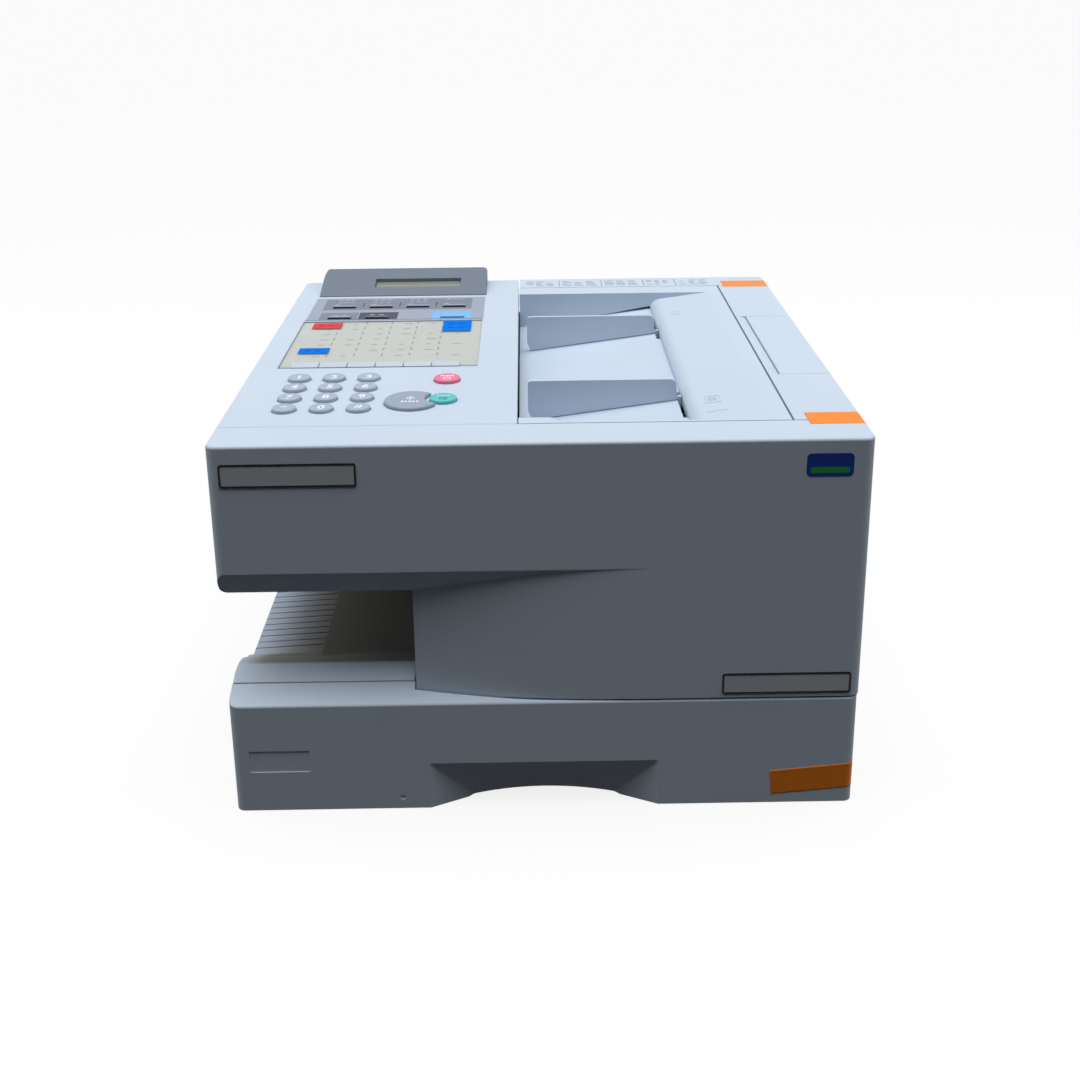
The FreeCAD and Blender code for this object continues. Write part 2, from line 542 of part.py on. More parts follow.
def lift_springs():
    """Two coil springs between the cassette's floor and the lift plate."""
    x, z0 = SPRING_X, TRAY_BOTTOM_Z + FLOOR_T + 1.1
    rise = LIFT_Z + (x - LIFT_X0) * math.tan(math.radians(LIFT_TILT)) - 4.2 - z0
    turns = [2 * math.pi * k / 8 for k in range(9)]
    wire = [(SPRING_R + SPRING_WIRE_R * math.cos(t), SPRING_WIRE_R * math.sin(t)) for t in turns]
    coils = []
    for y in (-40.0, 30.0):
        helix = Part.makeHelix(rise / SPRING_TURNS, rise, SPRING_R)
        helix.translate(V(x, y, z0))
        section = Part.makePolygon([V(x + u, y, z0 + w) for u, w in wire])
        coils.append(Part.Wire(helix.Edges).makePipeShell([section], True, True))
    return Part.makeCompound(coils)


# Document tray and guides


def tray_floor_z(x):
    return FLOOR_X0_Z + FLOOR_SLOPE * (x - TRAY_X0)


def document_tray():
    y0, y1 = PANEL_FRONT_Y, REAR_SEAM_Y - SEAM
    low_z = tray_floor_z(SLOT_X0)
    top = [(TRAY_X0, FLOOR_X0_Z), (SLOT_X0, low_z), (STEP_X, low_z), (STEP_X, STEP_Z - 1.5),
           ((STEP_X + 2.2, STEP_Z + 1.7), (RISE_X, RISE_Z)), (RIM_X, TOP_Z), (TRAY_X1, TOP_Z)]
    under = [(TRAY_X1, TOP_Z - TRAY_T), (RIM_X + 2, TOP_Z - TRAY_T), (RISE_X + 1, RISE_Z - TRAY_T),
             (STEP_X + TRAY_T, low_z - TRAY_T), (TRAY_X0, FLOOR_X0_Z - TRAY_T)]
    floor = prism("y", top + under, y0, REAR_WALL_Y + TRAY_T)
    end_x = RIM_X + 2
    wall = [(TRAY_X0, FLOOR_X0_Z - TRAY_T), (end_x, TOP_Z - TRAY_T), (end_x, TOP_Z), (TRAY_X0, TOP_Z)]
    front_wall = prism("y", wall, y0, y0 + TRAY_T)
    rear_wall = prism("y", wall, REAR_WALL_Y, REAR_WALL_Y + TRAY_T)
    rear_deck = box(TRAY_X0, TRAY_X1, REAR_WALL_Y, y1, TOP_Z - TRAY_T, TOP_Z)
    rim_plan = [(TRAY_X0, y0), (16.6, y0), (7.3, -172.0), (TRAY_X0, -172.0)]
    rim = prism("z", rim_plan, FLOOR_X0_Z + 2, TOP_Z)
    edge = box(TRAY_X1 - TRAY_T, TRAY_X1, y0, y1, TOP_Z - 14, TOP_Z)
    rails = [box(x, x + 2, -150, 134, RACK_Z0 - 1, top) for x, top in
             ((86.5, tray_floor_z(86.5) - 1.5), (115.5, RISE_Z - 1))]
    post = rod("z", RACK_Z0 - 1.5, low_z - 1, PINION_X, GUIDE_MID_Y, 2.0)
    tray = joined(floor, front_wall, rear_wall, rear_deck, rim, edge, post, *rails)
    neck_y0, neck_y1 = GUIDE_HALF - GUIDE_IN - 1.5, GUIDE_HALF + GUIDE_T + GUIDE_OUT + 1.5
    for s in (-1, 1):
        ends = sorted((GUIDE_MID_Y + s * neck_y0, GUIDE_MID_Y + s * neck_y1))
        tray = tray.cut(box(SLOT_X0, STEP_X, ends[0], ends[1], low_z - 8, STEP_Z + 4))
    return tray


def guide_rack():
    """Rack bar on the front guide, with its teeth towards the pinion."""
    pitch = math.pi * GEAR_MODULE
    pitch_x = PINION_X + GEAR_MODULE * PINION_TEETH / 2
    tip_x, root_x = pitch_x - GEAR_ADD * GEAR_MODULE, pitch_x + GEAR_DED * GEAR_MODULE
    half = pitch / 4 - GEAR_PLAY / 2
    tip_half = half - GEAR_ADD * math.tan(PRESSURE_ANGLE)
    root_half = half + GEAR_DED * math.tan(PRESSURE_ANGLE)
    outline = [(root_x + 3, GUIDE_MID_Y - GUIDE_HALF - GUIDE_T), (root_x, GUIDE_MID_Y - GUIDE_HALF - GUIDE_T)]
    for n in range(-7, 15):
        y = GUIDE_MID_Y + pitch * (n + 0.5)
        outline += [(root_x, y - root_half), (tip_x, y - tip_half)]
        outline += [(tip_x, y + tip_half), (root_x, y + root_half)]
    end_y = GUIDE_MID_Y + 52.0
    outline += [(root_x, end_y), (root_x + 3, end_y)]
    return prism("z", outline, RACK_Z0, RACK_Z1)


def document_guide(side):
    """Upright guide, neck through the slot, arm and rack. side is -1 at the front, 1 at the rear."""
    inner = GUIDE_MID_Y + side * GUIDE_HALF
    y0, y1 = sorted((inner, inner + side * GUIDE_T))
    lift, r = 0.8, 2.5
    slot_z = tray_floor_z(SLOT_X0)
    outline = [(GUIDE_X0 + 3, tray_floor_z(GUIDE_X0 + 3) + lift), (SLOT_X0, slot_z + lift),
               (GUIDE_X1 + 1, GUIDE_TOP_Z - r), quarter(GUIDE_X1 - r, GUIDE_TOP_Z - r, r, 0),
               (GUIDE_X0 + r, GUIDE_TOP_Z), quarter(GUIDE_X0 + r, GUIDE_TOP_Z - r, r, 90),
               (GUIDE_X0, tray_floor_z(GUIDE_X0) + 8)]
    plate = prism("y", outline, y0, y1)
    neck_x = (SLOT_X0 + 0.3, STEP_X - 0.3)
    neck = box(*neck_x, y0, y1, RACK_Z0, slot_z + 3)
    shoulder = box(GUIDE_X1 - 2, neck_x[1], y0, y1, slot_z + lift, slot_z + 3)
    rack = guide_rack()
    outer_x = rack.BoundBox.XMax
    if side > 0:
        rack.rotate(V(PINION_X, GUIDE_MID_Y, 0), V(0, 0, 1), 180)
        arm = box(2 * PINION_X - outer_x, neck_x[1], y0, y1, RACK_Z0, RACK_Z1)
    else:
        arm = box(neck_x[0], outer_x, y0, y1, RACK_Z0, RACK_Z1)
    return joined(plate, neck, shoulder, arm, rack)


def guide_pinion():
    wheel = prism("z", gear_outline(PINION_TEETH, PINION_X, GUIDE_MID_Y, 0.0), RACK_Z0, RACK_Z1)
    hub = rod("z", RACK_Z1 - 1, RACK_Z1 + 2, PINION_X, GUIDE_MID_Y, 4.0)
    return joined(wheel, hub).cut(rod("z", RACK_Z0 - 1, RACK_Z1 + 3, PINION_X, GUIDE_MID_Y, 2.0 + RUN_FIT))


# Side door and release handle


def door_outline(x0, z0):
    """Top and side as one bent sheet, with a round outer edge."""
    r, in_x, in_z = EDGE_R, SIDE_X - WALL, TOP_Z - WALL
    return [(x0, TOP_Z), (x0, in_z), (in_x - 2, in_z), (in_x, in_z - 2), (in_x, z0), (SIDE_X, z0),
            (SIDE_X, TOP_Z - r), quarter(SIDE_X - r, TOP_Z - r, r, 0)]


def side_door():
    y0, y1 = DOOR_FRONT_Y, DOOR_BACK_Y
    shell = prism("y", door_outline(DOOR_X, DOOR_BOTTOM_Z), y0, y1)
    pan_x, pan_z = (HANDLE_X - SEAM - 2.5, POCKET_X1 + 2), (POCKET_Z - 2, TOP_Z - 1)
    pan = box(*pan_x, HANDLE_Y0 - 2.5, HANDLE_Y1 + 2.5, *pan_z)
    rib_outline = [(SIDE_X - WALL, 112), (205, 118), (199, 140), (199, 175), (205, 196), (SIDE_X - WALL, 200)]
    ribs = [prism("y", rib_outline, y - 1, y + 1) for y in range(-120, 130, 30)]
    arms = []
    for ear0, ear1 in DOOR_EARS:
        arms.append(rod("y", ear0 - 2, ear1 + 8, DOOR_AXIS_X, DOOR_AXIS_Z, HINGE_PIN_R))
        arm_z = (DOOR_AXIS_Z - 2.5, DOOR_AXIS_Z + 14)
        arms.append(box(DOOR_AXIS_X - 3, SIDE_X - 1, ear1 + 2, ear1 + 8, *arm_z))
    bosses = []
    for b0, b1 in ((HANDLE_Y0 - 5, HANDLE_Y0 - 0.6), (HANDLE_Y1 + 0.6, HANDLE_Y1 + 5)):
        bosses.append(box(HANDLE_AXIS_X - 4.5, SIDE_X - 1, b0, b1, HANDLE_AXIS_Z - 4, HANDLE_AXIS_Z + 4))
    gap_x, gap_z = (SIDE_X - WALL - 1, SIDE_X + 1), (DOOR_BOTTOM_Z - 1, 110)
    ear_gaps = [box(*gap_x, ear0 - 2.5, ear1 + 1.2, *gap_z) for ear0, ear1 in DOOR_EARS]
    door = joined(shell.cut(Part.makeCompound(ear_gaps)), pan, *ribs, *arms, *bosses)
    pocket = box(HANDLE_X - SEAM, POCKET_X1, HANDLE_Y0, HANDLE_Y1, POCKET_Z, TOP_Z + 1)
    ramp = [(GROOVE_X, TOP_Z), (HANDLE_X, TOP_Z - GROOVE_DEPTH), (HANDLE_X, TOP_Z + 1), (GROOVE_X, TOP_Z + 1)]
    groove = prism("y", ramp, HANDLE_Y0, HANDLE_Y1)
    side_cut = box(POCKET_X1 - 1, SIDE_X + 1, HANDLE_Y0, HANDLE_Y1, HANDLE_AXIS_Z - 3.2, TOP_Z + 1)
    bore = rod("y", HANDLE_Y0 - 6, HANDLE_Y1 + 6, HANDLE_AXIS_X, HANDLE_AXIS_Z, HANDLE_PIN_R + RUN_FIT)
    return door.cut(pocket).cut(groove).cut(side_cut).cut(bore)


def door_handle():
    y0, y1 = HANDLE_Y0 + 0.4, HANDLE_Y1 - 0.4
    plate = prism("y", door_outline(HANDLE_X, HANDLE_AXIS_Z - 1), y0, y1)
    cheek_x, cheek_z = (HANDLE_AXIS_X - 2.5, SIDE_X - 1), (HANDLE_AXIS_Z - 1, HANDLE_AXIS_Z + 9)
    cheeks = [box(*cheek_x, y, y + 4, *cheek_z) for y in (y0, y1 - 4)]
    pins = [rod("y", y - 4, y + 4, HANDLE_AXIS_X, HANDLE_AXIS_Z, HANDLE_PIN_R) for y in (y0, y1)]
    return joined(plate, *cheeks, *pins)


# Control panel


def bitten(disc, gap):
    """Disc with a bite that leaves room for the copy key."""
    return disc.cut(rod("z", PANEL_Z, KEY_TOP_Z + 1, *COPY_AT, COPY_R + gap))


def key_spot(row, col):
    return KEY_X0 + KEY_PITCH_X * col, KEY_Y0 - KEY_PITCH_Y * row


def panel_holes():
    z0, z1 = TOP_Z - PANEL_TOP_T - 1, TOP_Z + 1
    holes = []
    for row, names in enumerate(KEY_NAMES):
        for col in range(len(names)):
            holes.append(rod("z", z0, z1, *key_spot(row, col), KEY_R + KEY_HOLE))
    for r, at in ((STOP_R, STOP_AT), (COPY_R, COPY_AT)):
        holes.append(rod("z", z0, z1, *at, r + KEY_HOLE))
    holes.append(bitten(rod("z", z0, z1, *START_AT, START_R + KEY_HOLE), BITE_GAP - KEY_HOLE))
    for x, y in BAR_ROW_1 + BAR_ROW_2:
        w, d = BAR_W / 2 + KEY_HOLE, BAR_D / 2 + KEY_HOLE
        holes.append(box(x - w, x + w, y - d, y + d, z0, z1))
    return Part.makeCompound(holes)


def control_panel():
    x0, x1, y0, y1 = -SIDE_X, PANEL_X, PANEL_FRONT_Y, PANEL_BACK_Y
    round_corner = quarter(x0 + CORNER_R, y1 - CORNER_R, CORNER_R, 90)
    plan = [(x0, y0), (x1, y0), (x1, y1), (x0 + CORNER_R, y1), round_corner]
    outer = prism("z", plan, PANEL_Z, TOP_Z)
    left_rim = [e for e in edges_at(outer, z=TOP_Z) if e.BoundBox.XMin < x0 + 1]
    outer = outer.makeFillet(EDGE_R, left_rim + edges_at(outer, z=TOP_Z, y=y1))
    inner_x, inner_y = (x0 + PANEL_WALL, x1 - PANEL_WALL), (y0 + PANEL_WALL, y1 - PANEL_WALL)
    hollow = box(*inner_x, *inner_y, PANEL_Z - 1, TOP_Z - PANEL_TOP_T)
    entry = box(inner_x[1] - 1, x1 + 1, inner_y[0], y1 - 30, PANEL_Z - 1, 250)
    pocket_y = (TAB_Y0 - 0.6, FLAP_Y + FLAP_BEAD_R + FLAP_GAP)
    card_pocket = box(CARD_X0 - 0.5, CARD_X1 + 0.5, *pocket_y, CARD_FLOOR_Z, TOP_Z + 1)
    flap_bore = rod("x", CARD_X0 - 2.6, CARD_X1 + 2.6, FLAP_Y, FLAP_Z, FLAP_BEAD_R + RUN_FIT)
    lugs = []
    for e0, e1 in PANEL_EARS:
        a, b = (e1 + 0.6, e1 + 4.6)
        lugs.append(rod("x", a, b, PANEL_HINGE_Y, PANEL_HINGE_Z + 0.5, 4.5))
        lugs.append(box(a, b, 205, 213, PANEL_HINGE_Z, TOP_Z - 2))
        lugs.append(rod("x", e0 - 1.5, b, PANEL_HINGE_Y, PANEL_HINGE_Z, HINGE_PIN_R))
    drop_x = (PANEL_EARS[0][1] + 3, PANEL_EARS[1][0] - 3)
    rear_drop = box(*drop_x, inner_y[1], y1, PANEL_Z - 4.5, PANEL_Z + 1)
    disc = rod("x", x0, x0 + PANEL_WALL, PANEL_HINGE_Y, PANEL_HINGE_Z, HINGE_DISC_R)
    disc = disc.common(prism("z", plan, 0, TOP_Z - EDGE_R))
    shell = joined(outer.cut(hollow).cut(entry), rear_drop, disc, *lugs)
    return shell.cut(card_pocket).cut(flap_bore).cut(panel_holes())


def panel_base():
    edge = PANEL_WALL + SEAM
    plate = box(-SIDE_X + edge, PANEL_X - edge, PANEL_FRONT_Y + edge, 200, 247, 249.5)
    ribs = [box(-205, -25, y - 1, y + 1, 249, 254) for y in (-120, -40, 40, 120)]
    return joined(plate, *ribs)


def round_key(r, at):
    """Key cap with a shallow dish, a round rim and a flange that stops it under the panel."""
    cap = rod("z", KEY_FLANGE_Z + 1, KEY_TOP_Z, *at, r)
    cap = cap.makeFillet(KEY_EDGE_R, edges_at(cap, z=KEY_TOP_Z))
    dish_r = r * r / (2.2 * KEY_DISH)
    dish = Part.makeSphere(dish_r, V(*at, KEY_TOP_Z + dish_r - KEY_DISH))
    return joined(cap, key_flange(r, at)).cut(dish)


def key_flange(r, at):
    return rod("z", KEY_FLANGE_Z, KEY_FLANGE_Z + 3, *at, r + KEY_FLANGE)


def start_key():
    """Round key with a flat top and a bite that leaves room for the copy key."""
    cap = bitten(rod("z", KEY_FLANGE_Z + 1, KEY_TOP_Z, *START_AT, START_R), BITE_GAP)
    cap = cap.makeChamfer(START_BEVEL, edges_at(cap, z=KEY_TOP_Z))
    return joined(cap, bitten(key_flange(START_R, START_AT), KEY_FLANGE + 0.6))


def bar_key(x, y):
    w, d = BAR_W / 2, BAR_D / 2
    cap = box(x - w, x + w, y - d, y + d, KEY_FLANGE_Z + 1, BAR_TOP_Z)
    cap = cap.makeFillet(0.8, edges_at(cap, z=BAR_TOP_Z))
    return joined(cap, box(x - w - 1, x + w + 1, y - d - 1, y + d + 1, KEY_FLANGE_Z, KEY_FLANGE_Z + 3))


def hump_z(y):
    """Height of the display housing's sloped face."""
    return HUMP_FRONT_Z + (HUMP_TOP_Z - HUMP_FRONT_Z) * (y - HUMP_Y0) / (HUMP_TOP_Y - HUMP_Y0)


def display_slab(y0, y1, down, up):
    """Slab along the sloped face, from so far below it to so far above it."""
    return [(y0, hump_z(y0) - down), (y1, hump_z(y1) - down), (y1, hump_z(y1) + up), (y0, hump_z(y0) + up)]


def display_housing():
    crown = ((HUMP_TOP_Y + 2.0, HUMP_TOP_Z - 0.8), (HUMP_TOP_Y + 2.8, HUMP_TOP_Z - 3))
    outline = [(HUMP_Y0, TOP_Z), (HUMP_Y0, HUMP_FRONT_Z), (HUMP_TOP_Y, HUMP_TOP_Z), crown,
               (HUMP_Y1 - 2.5, TOP_Z)]
    body = prism("x", outline, HUMP_X0, HUMP_X1)
    r, bend_z = HUMP_CORNER_R, HUMP_TOP_Z - HUMP_CORNER_R
    seen_from_front = [(HUMP_X0, TOP_Z - 1), (HUMP_X1, TOP_Z - 1), (HUMP_X1, bend_z),
                       quarter(HUMP_X1 - r, bend_z, r, 0), (HUMP_X0 + r, HUMP_TOP_Z),
                       quarter(HUMP_X0 + r, bend_z, r, 90)]
    body = body.common(prism("y", seen_from_front, HUMP_Y0 - 1, HUMP_Y1 + 1))
    window = display_slab(LCD_Y0 - 0.3, LCD_Y1 + 0.3, LCD_SINK + LCD_T + 0.2, 6.0)
    return body.cut(prism("x", window, LCD_X0 - 0.3, LCD_X1 + 0.3))


def display_window():
    return prism("x", display_slab(LCD_Y0, LCD_Y1, LCD_SINK + LCD_T, -LCD_SINK), LCD_X0, LCD_X1)


def directory_cover():
    """Clear flap over the card, with a round bead along its rear edge and index tabs along its front."""
    low_z = FLAP_Z - FLAP_T / 2
    sheet = box(CARD_X0 + 0.4, CARD_X1 - 0.4, CARD_Y0, FLAP_Y, low_z, low_z + FLAP_T)
    bead = rod("x", CARD_X0 - 2.4, CARD_X1 + 2.4, FLAP_Y, FLAP_Z, FLAP_BEAD_R)
    tabs = []
    for n in range(TAB_COUNT):
        x = TAB_X0 + TAB_W * n
        tabs.append(box(x + 0.4, x + TAB_W - 0.4, TAB_Y0, CARD_Y0 + 6, low_z, TOP_Z + 0.6))
    return joined(sheet, bead, *tabs)


# Scanner, print engine and electrics


def scan_bed():
    plate = box(-211, -17, -150, 135, 234.5, 237)
    windows = [box(-90, -70, -112, 97, 233, 238), box(-141, -114, -142, 127, 233, 238)]
    sides = []
    for y0, y1 in ((-150.0, -147.0), (132.0, 135.0)):
        cheek = box(-205, -60, y0, y1, OVERHANG_Z + WALL + 0.5, 235)
        sides.append(cheek.cut(rod("y", y0 - 1, y1 + 1, FEED_X, FEED_Z, SHAFT_R + RUN_FIT)))
    return joined(plate.cut(Part.makeCompound(windows)), *sides)


def image_sensor():
    body = box(-140, -115, -141, 126, 219, 236.2)
    glass = box(-137, -118, -136, 121, 236.2, 236.9)
    return joined(body, glass)


def roller(x, z, r, spans, shaft_r, y0, y1):
    """Shaft along Y with rubber sleeves at the spans given."""
    return joined(rod("y", y0, y1, x, z, shaft_r), *[rod("y", a, b, x, z, r) for a, b in spans])


def document_roller():
    return roller(FEED_X, FEED_Z, FEED_R, [(-100, -60), (-28, 12), (52, 92)], SHAFT_R, -152, 137)


def exit_roller():
    return roller(EXIT_X, EXIT_Z, EXIT_R, [(-120, -95), (-65, -40), (0, 25), (55, 80)], SHAFT_R, -144, 103)


def pickup_roller():
    return roller(PICK_X, PICK_Z, PICK_R, [(-32, 18)], SHAFT_R + 1, -144, 134)


def photo_drum():
    drum = roller(DRUM_X, DRUM_Z, DRUM_R, [(-125, 100)], DRUM_SHAFT_R, -142, 122)
    teeth = prism("y", gear_outline(DRUM_TEETH, DRUM_X, DRUM_Z, -90.0), GEAR_Y0, GEAR_Y1)
    return joined(drum, teeth)


def transfer_roller():
    z = DRUM_Z - GEAR_MODULE * (DRUM_TEETH + TRANSFER_TEETH) / 2
    core = roller(DRUM_X, z, TRANSFER_R, [(-125, 100)], SHAFT_R, -142, 122)
    teeth = prism("y", gear_outline(TRANSFER_TEETH, DRUM_X, z, 90 + 180 / TRANSFER_TEETH), GEAR_Y0, GEAR_Y1)
    return joined(core, teeth)


MOTOR_X = DRUM_X + GEAR_MODULE * (DRUM_TEETH + MOTOR_TEETH) / 2


def motor_pinion():
    outline = gear_outline(MOTOR_TEETH, MOTOR_X, DRUM_Z, 180 + 180 / MOTOR_TEETH)
    teeth = prism("y", outline, GEAR_Y0 - 1, GEAR_Y1 + 1)
    return joined(rod("y", GEAR_Y0 - 3, 148, MOTOR_X, DRUM_Z, MOTOR_SHAFT_R), teeth)


def main_motor():
    can = rod("y", 126, 165, MOTOR_X, DRUM_Z, 20.0)
    plate = box(MOTOR_X - 32, MOTOR_X + 32, 123, 126, DECK_Z, 158)
    foot = box(MOTOR_X - 32, MOTOR_X + 32, 123, 140, DECK_Z, DECK_Z + 2)
    return joined(can, plate, foot).cut(rod("y", 120, 150, MOTOR_X, DRUM_Z, MOTOR_SHAFT_R + RUN_FIT))


def toner_cartridge():
    y0, y1 = BEARING_Y[0][0], BEARING_Y[1][1]
    back = [(52, 138), (25, 146), (25, 180), (40, 190), (140, 190), (150, 178)]
    body = prism("y", back + [(150, 150), (128, 138)], y0 + 4, y1 - 4)
    body = body.cut(rod("y", y0, y1, DRUM_X, DRUM_Z, DRUM_R + 1.2))
    foot_z = DECK_Z + SEAM
    cheek = back + [(150, foot_z), (124, foot_z), (124, 122), (56, 122)]
    cheeks = [prism("y", cheek, near, far) for near, far in BEARING_Y]
    return joined(body, *cheeks).cut(rod("y", y0 - 1, y1 + 1, DRUM_X, DRUM_Z, DRUM_SHAFT_R + RUN_FIT))


def laser_unit():
    body = box(14, 159, -146, 118, 198, 222)
    lid = box(18, 155, -142, 114, 222, 225)
    cap = rod("z", 225, 229, 90, -14, 28)
    legs = [box(x, x + 6, y, y + 6, DECK_Z, 198) for x in (14, 153) for y in (-146, 112)]
    slit = box(60, 80, -120, 95, 197, 204)
    return joined(body, lid, cap, *legs).cut(slit)


def fuser_unit():
    body = box(-60, -8, -148, 132, DECK_Z, 152)
    body = body.makeFillet(6.0, edges_at(body, x=-60, z=152) + edges_at(body, x=-8, z=152))
    return body.cut(box(-61, -7, -130, 115, 114, 123))


def main_board():
    board = box(-80, 190, 206, 207.6, 95, 215)
    chips = [box(x, x + 24, 203, 206, z, z + 24) for x in (-40, 20, 90) for z in (130, 175)]
    jacks = []
    for x in JACK_X:
        jack = box(x, x + JACK_W, 207.6, BACK_Y - 0.2, JACK_Z0, JACK_Z0 + JACK_H)
        mouth = box(x + 3.2, x + JACK_W - 3.2, 209, BACK_Y, JACK_Z0 + 3, JACK_Z0 + JACK_H - 3)
        jacks.append(jack.cut(mouth))
    return joined(board, *chips, *jacks)


def power_supply():
    can = box(-205, -96, 114, 198, DECK_Z, 152)
    vents = [box(-200 + 8 * n, -197 + 8 * n, 124, 188, 148, 153) for n in range(13)]
    inlet = box(INLET_X0, INLET_X1, 197, BACK_Y - 0.2, INLET_Z0, INLET_Z1)
    mid_x, mid_z = (INLET_X0 + INLET_X1) / 2, (INLET_Z0 + INLET_Z1) / 2
    mouth = [(-12, -8), (12, -8), (12, 4), (8, 8), (-8, 8), (-12, 4)]
    socket = prism("y", [(mid_x + x, mid_z + z) for x, z in mouth], BACK_Y - 18, BACK_Y)
    blades = []
    for x, z in ((mid_x - 7, mid_z), (mid_x, mid_z + 3), (mid_x + 7, mid_z)):
        blades.append(box(x - 1, x + 1, BACK_Y - 19, BACK_Y - 4, z - 2, z + 2))
    return joined(can.cut(Part.makeCompound(vents)), inlet.cut(socket), *blades)


def power_switch():
    """Rocker on two round pins, drawn with its lower half pressed in."""
    front_y, back_y = SWITCH_Y - 2, SWITCH_Y + 4.6
    face = ((back_y - 1.2, SWITCH_Z), (back_y, SWITCH_Z + 9))
    outline = [(front_y, SWITCH_Z - 5), (back_y, SWITCH_Z - 9), face, (front_y, SWITCH_Z + 5)]
    rocker = prism("x", outline, SWITCH_X - 7, SWITCH_X + 7)
    rocker = rocker.fuse(rod("x", SWITCH_X - 10.5, SWITCH_X + 10.5, SWITCH_Y, SWITCH_Z, SWITCH_PIN_R))
    rocker.rotate(V(SWITCH_X, SWITCH_Y, SWITCH_Z), V(1, 0, 0), SWITCH_TILT)
    return rocker


def all_keys():
    keys = {}
    for row, names in enumerate(KEY_NAMES):
        for col, name in enumerate(names):
            keys["key_" + name] = round_key(KEY_R, key_spot(row, col))
    keys["start_key"] = start_key()
    keys["stop_key"] = round_key(STOP_R, STOP_AT)
    keys["copy_key"] = round_key(COPY_R, COPY_AT)
    for n, (x, y) in enumerate(BAR_ROW_1 + BAR_ROW_2):
        keys["function_key_%d" % (n + 1)] = bar_key(x, y)
    return keys


PIECES = [feet, base_frame, front_cover, left_cover, bay_wall, rear_cover, cover_screws, receiving_tray,
          cassette_front, cassette_tray, lift_plate, lift_springs, document_tray, guide_pinion, side_door,
          door_handle, control_panel, panel_base, display_housing, display_window, directory_cover, scan_bed,
          image_sensor, document_roller, exit_roller, pickup_roller, photo_drum, transfer_roller,
          motor_pinion, main_motor, toner_cartridge, laser_unit, fuser_unit, main_board, power_supply,
          power_switch]

os.makedirs("parts", exist_ok=True)
shapes = {piece.__name__: piece() for piece in PIECES}
shapes["front_guide"] = document_guide(-1)
shapes["rear_guide"] = document_guide(1)
shapes.update(all_keys())
for name, shape in shapes.items():
    print(name, shape.isValid(), len(shape.Solids), round(shape.Volume / 1000, 1))
    shape.exportStep("parts/%s.step" % name)
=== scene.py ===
import math

import bmesh
import bpy
from mathutils import Matrix, Vector, noise
from mathutils.bvhtree import BVHTree


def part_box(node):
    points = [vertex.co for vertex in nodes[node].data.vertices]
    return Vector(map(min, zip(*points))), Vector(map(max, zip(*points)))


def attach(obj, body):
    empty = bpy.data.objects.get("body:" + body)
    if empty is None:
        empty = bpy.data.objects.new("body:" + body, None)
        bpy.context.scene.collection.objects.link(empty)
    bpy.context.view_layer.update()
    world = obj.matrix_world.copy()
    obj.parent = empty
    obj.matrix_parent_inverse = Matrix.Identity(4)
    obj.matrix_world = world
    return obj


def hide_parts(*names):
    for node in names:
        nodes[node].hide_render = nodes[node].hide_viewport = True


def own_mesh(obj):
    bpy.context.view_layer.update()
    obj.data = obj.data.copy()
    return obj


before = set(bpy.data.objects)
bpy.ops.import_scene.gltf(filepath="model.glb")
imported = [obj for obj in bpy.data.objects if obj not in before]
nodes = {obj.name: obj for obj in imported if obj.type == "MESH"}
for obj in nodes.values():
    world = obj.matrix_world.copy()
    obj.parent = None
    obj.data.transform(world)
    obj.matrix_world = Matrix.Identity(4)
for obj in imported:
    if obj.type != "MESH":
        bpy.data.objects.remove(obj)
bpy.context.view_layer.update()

# The frame is in metres. Sizes and places below are in millimetres, X right, Y back, Z up.
MM = 0.001


def span(node):
    """A node's lower and upper corner in mm."""
    low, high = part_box(node)
    return low / MM, high / MM


TOP_Z = span("front_cover")[1].z
FRONT_Y = span("front_cover")[0].y
SIDE_X = span("side_door")[1].x
EDGE_R = 2.0

# Gap left under a printed or stuck-on sheet, so that no two faces lie in one plane.
SEAM_LIFT = 0.03
INK_T = 0.05
STROKE_T = 0.03

# Camera: angles in degrees, lens in mm on a 36 mm sensor.
CAMERA_AT = (-7.7, -1028.6, 573.4)
CAMERA_PITCH, CAMERA_YAW, CAMERA_ROLL = 17.381, 0.538, -0.612
CAMERA_LENS = 45.143
CAMERA_SHIFT = -0.16

# Printed function zone between the display and the directory.
ZONE_X = (-195.5, -45.0)
ZONE_Y = (82.6, 155.0)
FILM_T = 0.12
BAND_T = 0.06
UPPER_BAND_X = (-186.0, -56.4)
UPPER_BAND_Y = (114.5, 150.5)
LOWER_BANDS = {"band_grey": (-185.0, -152.6), "band_dark": (-151.7, -118.6), "band_blue": (-89.0, -55.5)}
LOWER_BAND_TOP_Y = 105.0
UPPER_BARS = ["function_key_1", "function_key_2", "function_key_3", "function_key_4"]
LOWER_BARS = ["function_key_5", "function_key_6", "function_key_7"]
BAR_FLANGE = 1.0
BAR_GAP = 0.5
BAR_HOLE_R = 0.4

# Directory: the floor of its well in the panel, the card on it, and the top of the flap's film.
CARD_FLOOR_Z = 267.6
CARD_T = 0.6
FLAP_TOP_Z = 269.3
STICKER_T = 0.12

# Figures on the number keys: the star and the hash are drawn smaller than the rest.
FIGURE_H = 7.6
FIGURE_SHARE = {"*": 0.8, "#": 0.85}

# Shipping tape: its thickness, the cut ends, the grid of its mesh, and how it lifts off the surface.
TAPE_T = 0.12
TAPE_TOOTH = 0.7
TAPE_TOOTH_PITCH = 2.2
TAPE_ROW = 0.8
TAPE_COLUMNS = 24
TAPE_REST = 0.05
TAPE_WRINKLE = 0.04
TAPE_END_LIFT = 0.15
TAPE_END_LENGTH = 3.0

